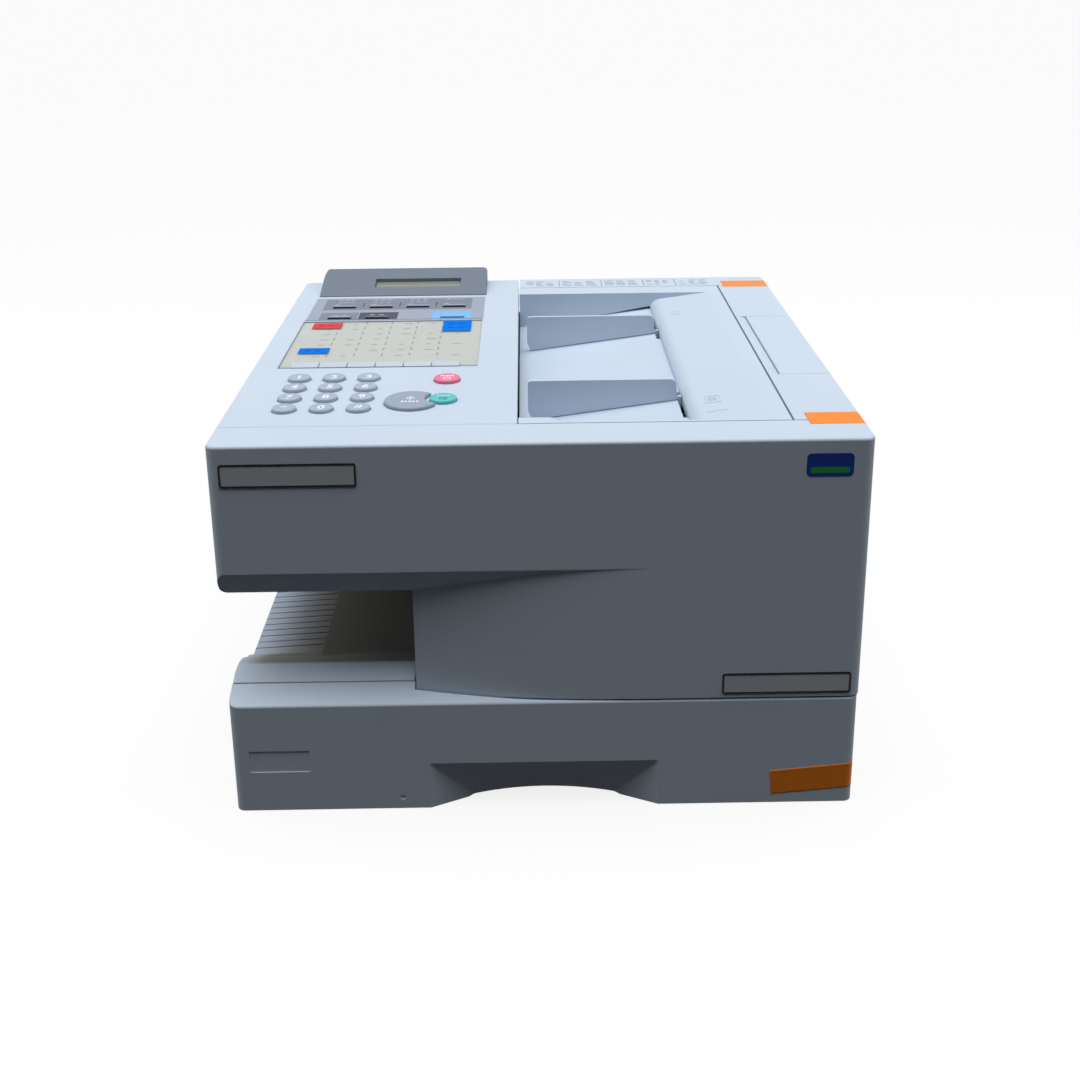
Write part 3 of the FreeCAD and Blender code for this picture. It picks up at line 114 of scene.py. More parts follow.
# Where a node changes its finish: depths from its own bounds, or places on the machine's axes.
BASE_SKIN = 1.6
TAB_LENGTH = 13.5
TAB_STEP = 6.8
FLAP_BEAD = 1.9
# A bar's front and sides carry painted shade; its top colour begins this far back from its front and this far
# down from its top.
BAR_SHADED_FRONT = 1.85
BAR_TOP_DEPTH = 0.6
SHAFT_R = {"exit_roller": 3.2, "pickup_roller": 4.2, "document_roller": 3.2, "photo_drum": 4.2,
           "transfer_roller": 3.2}
GEAR_Y = (111.5, 118.5)
MOTOR_SHAFT_Y = 119.5
BOARD_Y = (205.9, 207.7)
SENSOR_GLASS = 0.1
INLET_Y = 198.1
PIN_X = (-186, -164)
PIN_Y = 201.5
PIN_Z = (105, 120)

# Light: places in metres, angles in degrees.
CEILING_STRENGTH = 2.25
CEILING_SPREAD = 48
CEILING_TILT = 5
SIDE_POWER = 8.0
SIDE_SIZE = 1.2
SIDE_AT = (1.25, 0.1, 1.3)
SIDE_AIM = (0, 0.1, 0.1)
ROOM_GLOW = 0.03
FLOOR_GLOW = 0.85
FLOOR_REACH = 40.0


# Node and material helpers


def linear(code, gain=1.0):
    """An sRGB hex colour as linear RGBA, made lighter or darker by the gain."""
    channels = [int(code[i:i + 2], 16) / 255 for i in (1, 3, 5)]
    return [gain * (c / 12.92 if c <= 0.04045 else ((c + 0.055) / 1.055) ** 2.4) for c in channels] + [1.0]


def add(tree, kind, inputs=None, **settings):
    """One node with its settings. An input is a value, an output to link, or a node to link by its first
    output."""
    made = tree.nodes.new(kind)
    for name, value in settings.items():
        setattr(made, name, value)
    for socket, value in (inputs or {}).items():
        if isinstance(value, bpy.types.Node):
            value = value.outputs[0]
        if isinstance(value, bpy.types.NodeSocket):
            tree.links.new(value, made.inputs[socket])
        else:
            made.inputs[socket].default_value = value
    return made


def start_material(name):
    """An empty material, its node tree, and the output that gives the place on the piece."""
    material = bpy.data.materials.new(name)
    material.use_nodes = True
    material.node_tree.nodes.clear()
    place = add(material.node_tree, "ShaderNodeTexCoord").outputs["Object"]
    return material, material.node_tree, place


def finished(material, inputs):
    """Ends a material in a principled shader with the inputs given."""
    surface = add(material.node_tree, "ShaderNodeBsdfPrincipled", inputs)
    add(material.node_tree, "ShaderNodeOutputMaterial", {"Surface": surface})
    return material


# Materials


def moulded_abs(name, colour, roughness=0.56, grain=0.9, depth=0.02, drift=0.035, edge_gain=1.1, shine=0.18,
                dust=None):
    """Injection-moulded ABS from a spark-eroded tool: a fine even grain that softens highlights, a slow
    drift of colour from ageing, and edges polished lighter by handling. The real 0.3 mm grain is drawn
    coarser to show. The last argument, if given, is a function that says where shade is painted into the
    colour, in the frame's warm grey."""
    material, tree, place = start_material(name)
    ageing = add(tree, "ShaderNodeTexNoise", {"Vector": place, "Scale": 1 / (70 * MM), "Detail": 4.0})
    pits = add(tree, "ShaderNodeTexNoise", {"Vector": place, "Scale": 1 / (grain * MM), "Detail": 2.0})
    soft_edge = add(tree, "ShaderNodeBevel", {"Radius": 0.5 * MM}, samples=4)
    face = add(tree, "ShaderNodeNewGeometry").outputs["Normal"]
    turn = add(tree, "ShaderNodeVectorMath", {0: soft_edge, 1: face}, operation="DOT_PRODUCT")
    edge = add(tree, "ShaderNodeMapRange", {"Value": turn.outputs["Value"], "From Min": 0.98,
                                            "From Max": 0.7})
    body = add(tree, "ShaderNodeMix", {0: ageing, 6: linear(colour, 1 - drift), 7: linear(colour, 1 + drift)},
               data_type="RGBA")
    shade = add(tree, "ShaderNodeMix", {0: edge, 6: body.outputs[2], 7: linear(colour, edge_gain)},
                data_type="RGBA")
    # Painted shade: where the given mask says, the colour goes over to the frame's warm grey.
    if dust:
        shade = add(tree, "ShaderNodeMix", {0: dust(tree, place), 6: shade.outputs[2], 7: linear("#8F8D86")},
                    data_type="RGBA")
    gloss = add(tree, "ShaderNodeMapRange", {"Value": ageing, "To Min": roughness - 0.06,
                                             "To Max": roughness + 0.08})
    bump = add(tree, "ShaderNodeBump", {"Height": pits, "Distance": depth * MM, "Normal": soft_edge})
    return finished(material, {"Base Color": shade.outputs[2], "Roughness": gloss, "Normal": bump,
                               "IOR": 1.53, "Specular IOR Level": shine})


def tray_painted_shade(tree, place):
    """Where shade is painted on the receiving tray: darker towards the exit wall, and all along the trough
    behind the lip, where the overhang shades the bay. The lip's front keeps its own colour. Each rise is
    smooth, from none at its first place in mm to full at its second."""
    at = add(tree, "ShaderNodeSeparateXYZ", {0: place}).outputs
    places = {"near_wall": ("X", -205, -157), "trough_front": ("Y", -147, -151),
              "trough_side": ("X", -214, -194), "lip": ("Y", -184, -179)}
    rise = {}
    for name, (axis, start, end) in places.items():
        rise[name] = add(tree, "ShaderNodeMapRange", {"Value": at[axis], "From Min": start * MM,
                                                      "From Max": end * MM}, interpolation_type="SMOOTHSTEP")
    trough = add(tree, "ShaderNodeMath", {0: rise["trough_front"], 1: rise["trough_side"]},
                 operation="MULTIPLY")
    either = add(tree, "ShaderNodeMath", {0: rise["near_wall"], 1: trough}, operation="MAXIMUM")
    return add(tree, "ShaderNodeMath", {0: either, 1: rise["lip"]}, operation="MULTIPLY")


def printed_film(name, colour, roughness=0.5, fibre=0.6, depth=0.006, drift=0.04, fleck=3.0, shine=0.1):
    """Printed sheet, film or card: one colour with the slight unevenness of ink and the tooth of its base."""
    material, tree, place = start_material(name)
    ink = add(tree, "ShaderNodeTexNoise", {"Vector": place, "Scale": 1 / (fleck * MM), "Detail": 5.0})
    shade = add(tree, "ShaderNodeMix", {0: ink, 6: linear(colour, 1 - drift), 7: linear(colour, 1 + drift)},
                data_type="RGBA")
    gloss = add(tree, "ShaderNodeMapRange", {"Value": ink, "To Min": roughness - 0.05,
                                             "To Max": roughness + 0.05})
    tooth = add(tree, "ShaderNodeTexNoise", {"Vector": place, "Scale": 1 / (fibre * MM), "Detail": 2.0})
    bump = add(tree, "ShaderNodeBump", {"Height": tooth, "Distance": depth * MM})
    return finished(material, {"Base Color": shade.outputs[2], "Roughness": gloss, "Normal": bump,
                               "IOR": 1.5, "Specular IOR Level": shine})


def clear_film(name):
    """Clear polyester film: nearly all of the card below shows through, with a thin gloss and a faint
    haze from handling."""
    material, tree, place = start_material(name)
    haze = add(tree, "ShaderNodeTexNoise", {"Vector": place, "Scale": 1 / (25 * MM), "Detail": 5.0})
    shade = add(tree, "ShaderNodeMix", {0: haze, 6: linear("#D3DAD9"), 7: linear("#E4EAE8")},
                data_type="RGBA")
    gloss = add(tree, "ShaderNodeMapRange", {"Value": haze, "To Min": 0.1, "To Max": 0.3})
    return finished(material, {"Base Color": shade.outputs[2], "Roughness": gloss, "IOR": 1.57,
                               "Alpha": 0.16})


def liquid_crystal(name):
    """Reflective liquid crystal behind glass: olive grey with the faint grid of its cells, shining at a low
    angle."""
    material, tree, place = start_material(name)
    cells = add(tree, "ShaderNodeTexBrick", {"Vector": place, "Color1": linear("#7D847B"),
                                             "Color2": linear("#81887F"), "Mortar": linear("#70766D"),
                                             "Scale": 1.0, "Mortar Size": 0.12 * MM, "Brick Width": 3.6 * MM,
                                             "Row Height": 6.0 * MM}, offset=0.0)
    cloud = add(tree, "ShaderNodeTexNoise", {"Vector": place, "Scale": 1 / (18 * MM), "Detail": 2.0})
    shade = add(tree, "ShaderNodeMix", {0: cloud, 6: cells.outputs["Color"], 7: linear("#878E85")},
                data_type="RGBA")
    return finished(material, {"Base Color": shade.outputs[2], "Roughness": 0.15, "IOR": 1.52})


def packing_tape(name, colour):
    """Coloured polypropylene tape: satin, streaked along its length, with fine stretch wrinkles."""
    material, tree, place = start_material(name)
    along = add(tree, "ShaderNodeMapping", {"Vector": place, "Scale": (0.12, 1.0, 1.0)})
    streak = add(tree, "ShaderNodeTexNoise", {"Vector": along, "Scale": 1 / (1.6 * MM), "Detail": 4.0})
    shade = add(tree, "ShaderNodeMix", {0: streak, 6: linear(colour, 0.9), 7: linear(colour, 1.1)},
                data_type="RGBA")
    gloss = add(tree, "ShaderNodeMapRange", {"Value": streak, "To Min": 0.3, "To Max": 0.5})
    bump = add(tree, "ShaderNodeBump", {"Height": streak, "Distance": 0.05 * MM})
    return finished(material, {"Base Color": shade.outputs[2], "Roughness": gloss, "Normal": bump,
                               "IOR": 1.49, "Specular IOR Level": 0.15})


def plated_steel(name, colour="#B9BDC2", roughness=0.34):
    """Zinc-plated sheet steel: a soft metallic sheen with the spangle and fine drawing lines of the sheet."""
    material, tree, place = start_material(name)
    drawn = add(tree, "ShaderNodeMapping", {"Vector": place, "Scale": (1.0, 0.05, 1.0)})
    lines = add(tree, "ShaderNodeTexNoise", {"Vector": drawn, "Scale": 1 / (0.8 * MM), "Detail": 3.0})
    spangle = add(tree, "ShaderNodeTexVoronoi", {"Vector": place, "Scale": 1 / (6 * MM)}).outputs["Distance"]
    shade = add(tree, "ShaderNodeMix", {0: spangle, 6: linear(colour, 0.92), 7: linear(colour, 1.06)},
                data_type="RGBA")
    gloss = add(tree, "ShaderNodeMapRange", {"Value": lines, "To Min": roughness - 0.1,
                                             "To Max": roughness + 0.12})
    bump = add(tree, "ShaderNodeBump", {"Height": lines, "Distance": 0.01 * MM})
    return finished(material, {"Base Color": shade.outputs[2], "Roughness": gloss, "Normal": bump,
                               "Metallic": 1.0})


def ground_rubber(name, colour):
    """Ground rubber: nearly no gloss, a fine pitted skin and a grey bloom of paper dust."""
    material, tree, place = start_material(name)
    patches = add(tree, "ShaderNodeTexNoise", {"Vector": place, "Scale": 1 / (9 * MM), "Detail": 6.0})
    bloom = add(tree, "ShaderNodeMapRange", {"Value": patches, "From Min": 0.45, "From Max": 0.75,
                                             "To Max": 0.5})
    shade = add(tree, "ShaderNodeMix", {0: bloom, 6: linear(colour), 7: linear("#5D5E5E")}, data_type="RGBA")
    pits = add(tree, "ShaderNodeTexNoise", {"Vector": place, "Scale": 1 / (0.5 * MM), "Detail": 2.0})
    bump = add(tree, "ShaderNodeBump", {"Height": pits, "Distance": 0.04 * MM})
    return finished(material, {"Base Color": shade.outputs[2], "Roughness": 0.82, "Normal": bump,
                               "IOR": 1.52})


def coated_drum(name):
    """Organic photoconductor on aluminium: a deep glossy green under a clear charge-transport coat, lightly
    scored round its length by the cleaning blade."""
    material, tree, place = start_material(name)
    around = add(tree, "ShaderNodeMapping", {"Vector": place, "Scale": (0.02, 1.0, 0.02)})
    score = add(tree, "ShaderNodeTexNoise", {"Vector": around, "Scale": 1 / (2 * MM), "Detail": 4.0})
    shade = add(tree, "ShaderNodeMix", {0: score, 6: linear("#17524C"), 7: linear("#2E7A70")},
                data_type="RGBA")
    gloss = add(tree, "ShaderNodeMapRange", {"Value": score, "To Min": 0.12, "To Max": 0.3})
    return finished(material, {"Base Color": shade.outputs[2], "Roughness": gloss, "IOR": 1.58,
                               "Coat Weight": 0.6, "Coat Roughness": 0.08})


def circuit_board(name):
    """Glass-epoxy board under green solder mask, with the copper tracks as lighter lines 2.5 mm apart."""
    material, tree, place = start_material(name)
    upright = add(tree, "ShaderNodeMapping", {"Vector": place, "Rotation": (math.radians(90), 0, 0)})
    tracks = add(tree, "ShaderNodeTexBrick", {"Vector": upright, "Color1": linear("#1D5A34"),
                                              "Color2": linear("#205F38"), "Mortar": linear("#3F8A55"),
                                              "Scale": 1.0, "Mortar Size": 0.35 * MM,
                                              "Brick Width": 17.5 * MM, "Row Height": 2.5 * MM}).outputs
    mask = add(tree, "ShaderNodeTexNoise", {"Vector": place, "Scale": 1 / (1.2 * MM), "Detail": 2.0})
    gloss = add(tree, "ShaderNodeMapRange", {"Value": mask, "To Min": 0.25, "To Max": 0.45})
    bump = add(tree, "ShaderNodeBump", {"Height": tracks["Fac"], "Distance": 0.04 * MM})
    return finished(material, {"Base Color": tracks["Color"], "Roughness": gloss, "Normal": bump,
                               "IOR": 1.52})


cover_abs = moulded_abs("moulded_abs_light_grey", "#C8D6E6")
# The tray's finish has painted shade, darker in the trough behind the lip and towards the exit wall.
tray_abs = moulded_abs("moulded_abs_tray_grey_painted_shade", "#C8D6E6", dust=tray_painted_shade)
# The frame's warm grey is partly a plastic colour and partly painted shade for the paper bay's dark inside.
frame_abs = moulded_abs("moulded_abs_frame_grey", "#8F8D86", roughness=0.6)
display_abs = moulded_abs("moulded_abs_display_grey", "#737D8B", roughness=0.5)
start_abs = moulded_abs("moulded_abs_start_grey", "#98A5B6", roughness=0.5, grain=0.7, depth=0.008)
key_abs = moulded_abs("moulded_abs_key_grey", "#A9B6C7", roughness=0.5, grain=0.7, depth=0.008)
stop_abs = moulded_abs("moulded_abs_stop_pink", "#E87C9C", roughness=0.5, grain=0.7, depth=0.008)
copy_abs = moulded_abs("moulded_abs_copy_teal", "#62C0C2", roughness=0.5, grain=0.7, depth=0.008)
# Darker copies of the bar colours, painted on the bars' sides as shade.
bar_side_shade_abs = moulded_abs("moulded_abs_bar_side_painted_shade", "#2D3645", roughness=0.5, grain=0.7, depth=0.008)
bar_grey_abs = moulded_abs("moulded_abs_bar_grey", "#9DA7B8", roughness=0.5, grain=0.7, depth=0.008)
bar_dark_abs = moulded_abs("moulded_abs_bar_dark", "#6B707A", roughness=0.5, grain=0.7, depth=0.008)
bar_blue_abs = moulded_abs("moulded_abs_bar_blue", "#8CC2F8", roughness=0.5, grain=0.7, depth=0.008)
blue_bar_side_shade_abs = moulded_abs("moulded_abs_blue_bar_side_painted_shade", "#66AAE6", roughness=0.5, grain=0.7, depth=0.008)
dark_abs = moulded_abs("moulded_abs_black", "#26282B", roughness=0.5)
gear_acetal = moulded_abs("moulded_acetal_white", "#E6E6DE", roughness=0.38, depth=0.005)
tab_abs = moulded_abs("moulded_styrene_white", "#C2CDD9", roughness=0.5, depth=0.008)
sheet_clear = clear_film("clear_polyester_film")
lcd_glass = liquid_crystal("liquid_crystal_olive")
steel = plated_steel("zinc_plated_steel")
brass = plated_steel("tinned_brass", "#C9B27A", roughness=0.25)
roller_rubber = ground_rubber("ground_rubber_black", "#232425")
foot_rubber = ground_rubber("moulded_rubber_grey", "#3A3B3D")
drum_coat = coated_drum("photoconductor_green")
board_mask = circuit_board("solder_mask_green")
zone_film = printed_film("printed_film_lilac_grey", "#9FA8BA")
band_grey = printed_film("printed_film_grey", "#7E8694")
band_dark = printed_film("printed_film_charcoal", "#454959")
band_blue = printed_film("printed_film_sky_blue", "#7DBDF9")
white_ink = printed_film("screen_ink_white", "#EEF2F6", roughness=0.55, fleck=1.0)
teal_ink = printed_film("screen_ink_teal", "#2C7F86", roughness=0.55, fleck=1.0)
pale_ink = printed_film("screen_ink_pale", "#A9E2E2", roughness=0.55, fleck=1.0)
grey_ink = printed_film("screen_ink_grey", "#7F8B9D", roughness=0.55, fleck=1.0)
dark_ink = printed_film("screen_ink_dark", "#2A2F3A", roughness=0.5, fleck=1.0)
light_ink = printed_film("screen_ink_light_grey", "#AEB4C0", roughness=0.55, fleck=1.0)
card_ink = printed_film("laser_print_grey", "#8F969C", roughness=0.7, fleck=1.0)
faint_ink = printed_film("laser_print_faint", "#A3A8AA", roughness=0.7, fleck=1.0)
card_stock = printed_film("card_stock_beige", "#CCCFCA", roughness=0.8, fibre=0.8, depth=0.02, drift=0.03,
                          fleck=8.0)
red_label = printed_film("paper_label_red", "#DC4C54", roughness=0.7, shine=0.04)
blue_label = printed_film("paper_label_blue", "#0479E6", roughness=0.7, shine=0.04)
plate_white = printed_film("label_film_silver_white", "#C9D0D8", roughness=0.35)
plate_border = printed_film("label_film_black", "#12151D", roughness=0.35)
sticker_green = printed_film("vinyl_sticker_green", "#2F9E4F", roughness=0.35)
sticker_blue = printed_film("vinyl_sticker_blue", "#1B3F9C", roughness=0.35)
red_ink = printed_film("label_ink_dark_red", "#A3222A", roughness=0.6, fleck=1.0)
blue_ink = printed_film("label_ink_dark_blue", "#0A4596", roughness=0.6, fleck=1.0)
orange_tape = packing_tape("polypropylene_tape_orange", "#F98A1F")


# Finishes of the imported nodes


def paint(node, finish, *areas):
    """Gives a node its finish. Each area is (finish, test), where the test looks at a face's middle in mm."""
    mesh = nodes[node].data
    mesh.materials.clear()
    mesh.materials.append(finish)
    for number, (other, test) in enumerate(areas):
        mesh.materials.append(other)
        for face in mesh.polygons:
            if test(face.center / MM):
                face.material_index = number + 1


def off_axis(node):
    """Distance of a point from the axis of a node that turns about a line along Y."""
    low, high = span(node)
    x, z = (low.x + high.x) / 2, (low.z + high.z) / 2
    return lambda p: math.hypot(p.x - x, p.z - z)


def paint_covers():
    for node in ("front_cover", "left_cover", "rear_cover", "document_tray", "cassette_front", "side_door",
                 "door_handle", "control_panel", "front_guide", "rear_guide"):
        paint(node, cover_abs)
    # The bay wall's darker warm grey is partly the inner frame plastic and partly painted shade for the dark
    # inside of the paper bay.
    for node in ("bay_wall", "panel_base", "scan_bed", "cassette_tray"):
        paint(node, frame_abs)
    outer = span("base_frame")[1]
    paint("base_frame", frame_abs,
          (cover_abs, lambda p: abs(p.x) > outer.x - BASE_SKIN or p.y > outer.y - BASE_SKIN))
    paint("receiving_tray", tray_abs)
    paint("display_housing", display_abs)
    paint("display_window", lcd_glass)
    tab_end = span("directory_cover")[0].y + TAB_LENGTH
    bead_y = span("directory_cover")[1].y - FLAP_BEAD
    paint("directory_cover", sheet_clear, (tab_abs, lambda p: p.y < tab_end and p.z > FLAP_TOP_Z + 0.05 or
                                           p.y < tab_end - TAB_STEP or p.y > bead_y))
    paint("feet", foot_rubber)
    paint("cover_screws", steel)


def paint_keys():
    for name in ["key_" + k for k in "123456789"] + ["key_star", "key_0", "key_hash"]:
        paint(name, key_abs)
    paint("start_key", start_abs)
    paint("stop_key", stop_abs)
    paint("copy_key", copy_abs)
    tops = dict.fromkeys(UPPER_BARS + LOWER_BARS[:1], bar_grey_abs)
    tops.update({LOWER_BARS[1]: bar_dark_abs, LOWER_BARS[2]: bar_blue_abs})
    # Each bar's front and sides get a darker copy of its colour as painted shade; its top keeps the bar's
    # colour.
    for name, top in tops.items():
        front_y = span(name)[0].y + BAR_SHADED_FRONT
        rim_z = span(name)[1].z - BAR_TOP_DEPTH
        side_shade = blue_bar_side_shade_abs if top is bar_blue_abs else bar_side_shade_abs
        paint(name, side_shade, (top, lambda p, y=front_y, z=rim_z: p.y > y and p.z > z))


def paint_works():
    for node in ("exit_roller", "pickup_roller", "document_roller"):
        reach = off_axis(node)
        paint(node, roller_rubber, (steel, lambda p, reach=reach, r=SHAFT_R[node]: reach(p) < r))
    for node, skin in (("photo_drum", drum_coat), ("transfer_roller", roller_rubber)):
        reach = off_axis(node)
        paint(node, skin, (steel, lambda p, reach=reach, r=SHAFT_R[node]: reach(p) < r),
              (gear_acetal, lambda p, reach=reach, r=SHAFT_R[node]: GEAR_Y[0] < p.y < GEAR_Y[1] and
               reach(p) > r))
    paint("motor_pinion", gear_acetal, (steel, lambda p: p.y > MOTOR_SHAFT_Y))
    paint("guide_pinion", gear_acetal)
    for node in ("lift_plate", "main_motor"):
        paint(node, steel)
    for node in ("toner_cartridge", "laser_unit", "fuser_unit", "power_switch"):
        paint(node, dark_abs)
    glass_z = span("image_sensor")[1].z - SENSOR_GLASS
    paint("image_sensor", dark_abs, (lcd_glass, lambda p: p.z > glass_z))
    paint("main_board", board_mask, (dark_abs, lambda p: p.y < BOARD_Y[0] or p.y > BOARD_Y[1]))
    paint("power_supply", steel, (dark_abs, lambda p: p.y > INLET_Y),
          (brass, lambda p: p.y > PIN_Y and PIN_Z[0] < p.z < PIN_Z[1] and PIN_X[0] < p.x < PIN_X[1]))


# Mesh helpers


def closed(mesh):
    """Merges a mesh's doubles and turns its faces outwards."""
    work = bmesh.new()
    work.from_mesh(mesh)
    bmesh.ops.remove_doubles(work, verts=work.verts, dist=0.001 * MM)
    bmesh.ops.recalc_face_normals(work, faces=work.faces)
    work.to_mesh(mesh)
    work.free()
    return mesh


def curve_mesh(data):
    """A curve or text as a plain closed mesh."""
    holder = bpy.data.objects.new(data.name, data)
    bpy.context.scene.collection.objects.link(holder)
    depsgraph = bpy.context.evaluated_depsgraph_get()
    mesh = bpy.data.meshes.new_from_object(holder.evaluated_get(depsgraph))
    bpy.data.objects.remove(holder)
    return closed(mesh)


def piece(name, mesh, body, finish=None):
    """A finished mesh as a piece that moves with a body."""
    made = bpy.data.objects.new(name, mesh)
    bpy.context.scene.collection.objects.link(made)
    if finish:
        mesh.materials.clear()
        mesh.materials.append(finish)
    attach(made, body)
    return made


def rounded(x, y, r=0.0, steps=5):
    """Loop of a rectangle with round corners, anticlockwise."""
    if r == 0:
        return [(x[0], y[0]), (x[1], y[0]), (x[1], y[1]), (x[0], y[1])]
    loop = []
    for cx, cy, start in ((x[1] - r, y[0] + r, -90), (x[1] - r, y[1] - r, 0), (x[0] + r, y[1] - r, 90),
                          (x[0] + r, y[0] + r, 180)):
        for n in range(steps + 1):
            turn = math.radians(start + 90 * n / steps)
            loop.append((cx + r * math.cos(turn), cy + r * math.sin(turn)))
    return loop


def inset(x, y, margin, r=0.0):
    """Loop of a rectangle made smaller by a margin all round."""
    return rounded((x[0] + margin, x[1] - margin), (y[0] + margin, y[1] - margin), r)


def ring(cx, cy, r, steps=32):
    """Loop of a circle."""
    return [(cx + r * math.cos(2 * math.pi * n / steps), cy + r * math.sin(2 * math.pi * n / steps))
            for n in range(steps)]


def cut_sheet(name, loops, bottom, height):
    """Flat sheet cut to its loops, with later loops as holes, standing on the level given."""
    curve = bpy.data.curves.new(name, "CURVE")
    curve.dimensions = "2D"
    curve.fill_mode = "BOTH"
    curve.extrude = height / 2 * MM
    for loop in loops:
        spline = curve.splines.new("POLY")
        spline.points.add(len(loop) - 1)
        for point, (x, y) in zip(spline.points, loop):
            point.co = (x * MM, y * MM, 0.0, 1.0)
        spline.use_cyclic_u = True
    mesh = curve_mesh(curve)
    mesh.transform(Matrix.Translation((0, 0, (bottom + height / 2) * MM)))
    return mesh


def facing_front(y):
    """Turns a sheet drawn in X and Y to stand in X and Z on a front face at y."""
    return Matrix.Translation((0, y * MM, 0)) @ Matrix.Rotation(math.radians(90), 4, "X")


def settle(mesh, node, lift):
    """Drops a sheet on a node's top: each point keeps its height above the surface under it."""
    skin = nodes[node].data
    tree = BVHTree.FromPolygons([v.co for v in skin.vertices], [p.vertices[:] for p in skin.polygons])
    far_above = 1000.0 * MM
    for vertex in mesh.vertices:
        hit = tree.ray_cast(Vector((vertex.co.x, vertex.co.y, far_above)), Vector((0, 0, -1)))[0]
        vertex.co.z += hit.z + lift * MM
    mesh.update()


def lettering(text, height, thickness, weight=0.03):
    """A plain figure as a flat mesh about the origin, with its height in mm. It is drawn one unit high, with
    its strokes made bolder by the weight, and then scaled."""
    drawn_t = 0.02
    curve = bpy.data.curves.new("figure_" + str(ord(text)), "FONT")
    curve.body = text
    curve.size = 1.0
    curve.offset = weight
    curve.resolution_u = 6
    curve.extrude = drawn_t / 2
    mesh = curve_mesh(curve)
    xs = [v.co.x for v in mesh.vertices]
    ys = [v.co.y for v in mesh.vertices]
    scale = height * MM / (max(ys) - min(ys))
    base = Vector(((max(xs) + min(xs)) / 2, (max(ys) + min(ys)) / 2, -drawn_t / 2))
    for vertex in mesh.vertices:
        p = vertex.co - base
        vertex.co = (p.x * scale, p.y * scale, p.z / drawn_t * thickness * MM)
    return mesh


# Geometry node tree for printed strokes


def stroke_tree():
    """Rows and columns of flat printed strokes, each with its own length, some left out."""
    tree = bpy.data.node_groups.new("printed_strokes", "GeometryNodeTree")
    sockets = {}
    kinds = {"Columns": "Int", "Rows": "Int", "Column Pitch": "Float", "Row Pitch": "Float",
             "Length": "Float", "Height": "Float", "Thickness": "Float", "Shortest": "Float",
             "Share": "Float", "Seed": "Int", "Ink": "Material"}
    for name, kind in kinds.items():
        socket = tree.interface.new_socket(name, in_out="INPUT", socket_type="NodeSocket" + kind)
        sockets[name] = socket.identifier
    tree.interface.new_socket("Geometry", in_out="OUTPUT", socket_type="NodeSocketGeometry")
    given = add(tree, "NodeGroupInput").outputs

    def extent(count, pitch):
        gaps = add(tree, "ShaderNodeMath", {0: given[count], 1: 1.0}, operation="SUBTRACT")
        return add(tree, "ShaderNodeMath", {0: gaps, 1: given[pitch]}, operation="MULTIPLY")

    spots = add(tree, "GeometryNodeMeshGrid", {"Size X": extent("Columns", "Column Pitch"),
                                               "Size Y": extent("Rows", "Row Pitch"),
                                               "Vertices X": given["Columns"], "Vertices Y": given["Rows"]})
    size = add(tree, "ShaderNodeCombineXYZ", {0: given["Length"], 1: given["Height"], 2: given["Thickness"]})
    bar = add(tree, "GeometryNodeMeshCube", {"Size": size})
    half = add(tree, "ShaderNodeVectorMath", {0: size, 1: (0.5, 0.0, 0.5)}, operation="MULTIPLY")
    stroke = add(tree, "GeometryNodeTransform", {"Geometry": bar, "Translation": half})
    reach = add(tree, "FunctionNodeRandomValue", {2: given["Shortest"], 3: 1.0, 8: given["Seed"]},
                data_type="FLOAT")
    stretch = add(tree, "ShaderNodeCombineXYZ", {0: reach.outputs[1], 1: 1.0, 2: 1.0})
    kept = add(tree, "FunctionNodeRandomValue", {6: given["Share"], 8: given["Seed"]}, data_type="BOOLEAN")
    row = add(tree, "GeometryNodeInstanceOnPoints", {"Points": spots, "Instance": stroke, "Scale": stretch,
                                                     "Selection": kept.outputs[3]})
    solid = add(tree, "GeometryNodeRealizeInstances", {"Geometry": row})
    inked = add(tree, "GeometryNodeSetMaterial", {"Geometry": solid, "Material": given["Ink"]})
    add(tree, "NodeGroupOutput", {"Geometry": inked})
    return tree, sockets


STROKES, STROKE_SOCKETS = stroke_tree()


def strokes(name, columns, rows, pitch, size, ink, thickness=STROKE_T, shortest=0.5, share=1.0, seed=1):
    """Mesh of printed strokes about the origin. pitch and size are (x, y) in mm."""
    holder = bpy.data.objects.new(name, bpy.data.meshes.new(name + "_spots"))
    bpy.context.scene.collection.objects.link(holder)
    modifier = holder.modifiers.new(name, "NODES")
    modifier.node_group = STROKES
    values = {"Columns": columns, "Rows": rows, "Column Pitch": pitch[0] * MM, "Row Pitch": pitch[1] * MM,
              "Length": size[0] * MM, "Height": size[1] * MM, "Thickness": thickness * MM,
              "Shortest": shortest, "Share": share, "Seed": seed, "Ink": ink}
    for socket, value in values.items():
        modifier[STROKE_SOCKETS[socket]] = value
    mesh = bpy.data.meshes.new_from_object(holder.evaluated_get(bpy.context.evaluated_depsgraph_get()))
    holder.modifiers.remove(modifier)
    bpy.data.objects.remove(holder)
    # The holder's own empty slot goes, and the ink's stays.
    for slot in range(len(mesh.materials) - 1, -1, -1):
        if not mesh.materials[slot]:
            mesh.materials.pop(index=slot)
    return mesh


def shifted(mesh, x, y, z):
    """Moves a mesh by distances in mm, and hands it back."""
    mesh.transform(Matrix.Translation((x * MM, y * MM, z * MM)))
    return mesh


# Springs


def lift_coils():
    """The springs under the lift plate, as a closed copy that moves with the cassette in place of the
    imported ones.
    """
    mesh = closed(nodes["lift_springs"].data.copy())
    coils = piece("lift_coils", mesh, "cassette", steel)
    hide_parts("lift_springs")
    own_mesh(coils)


# Key legends


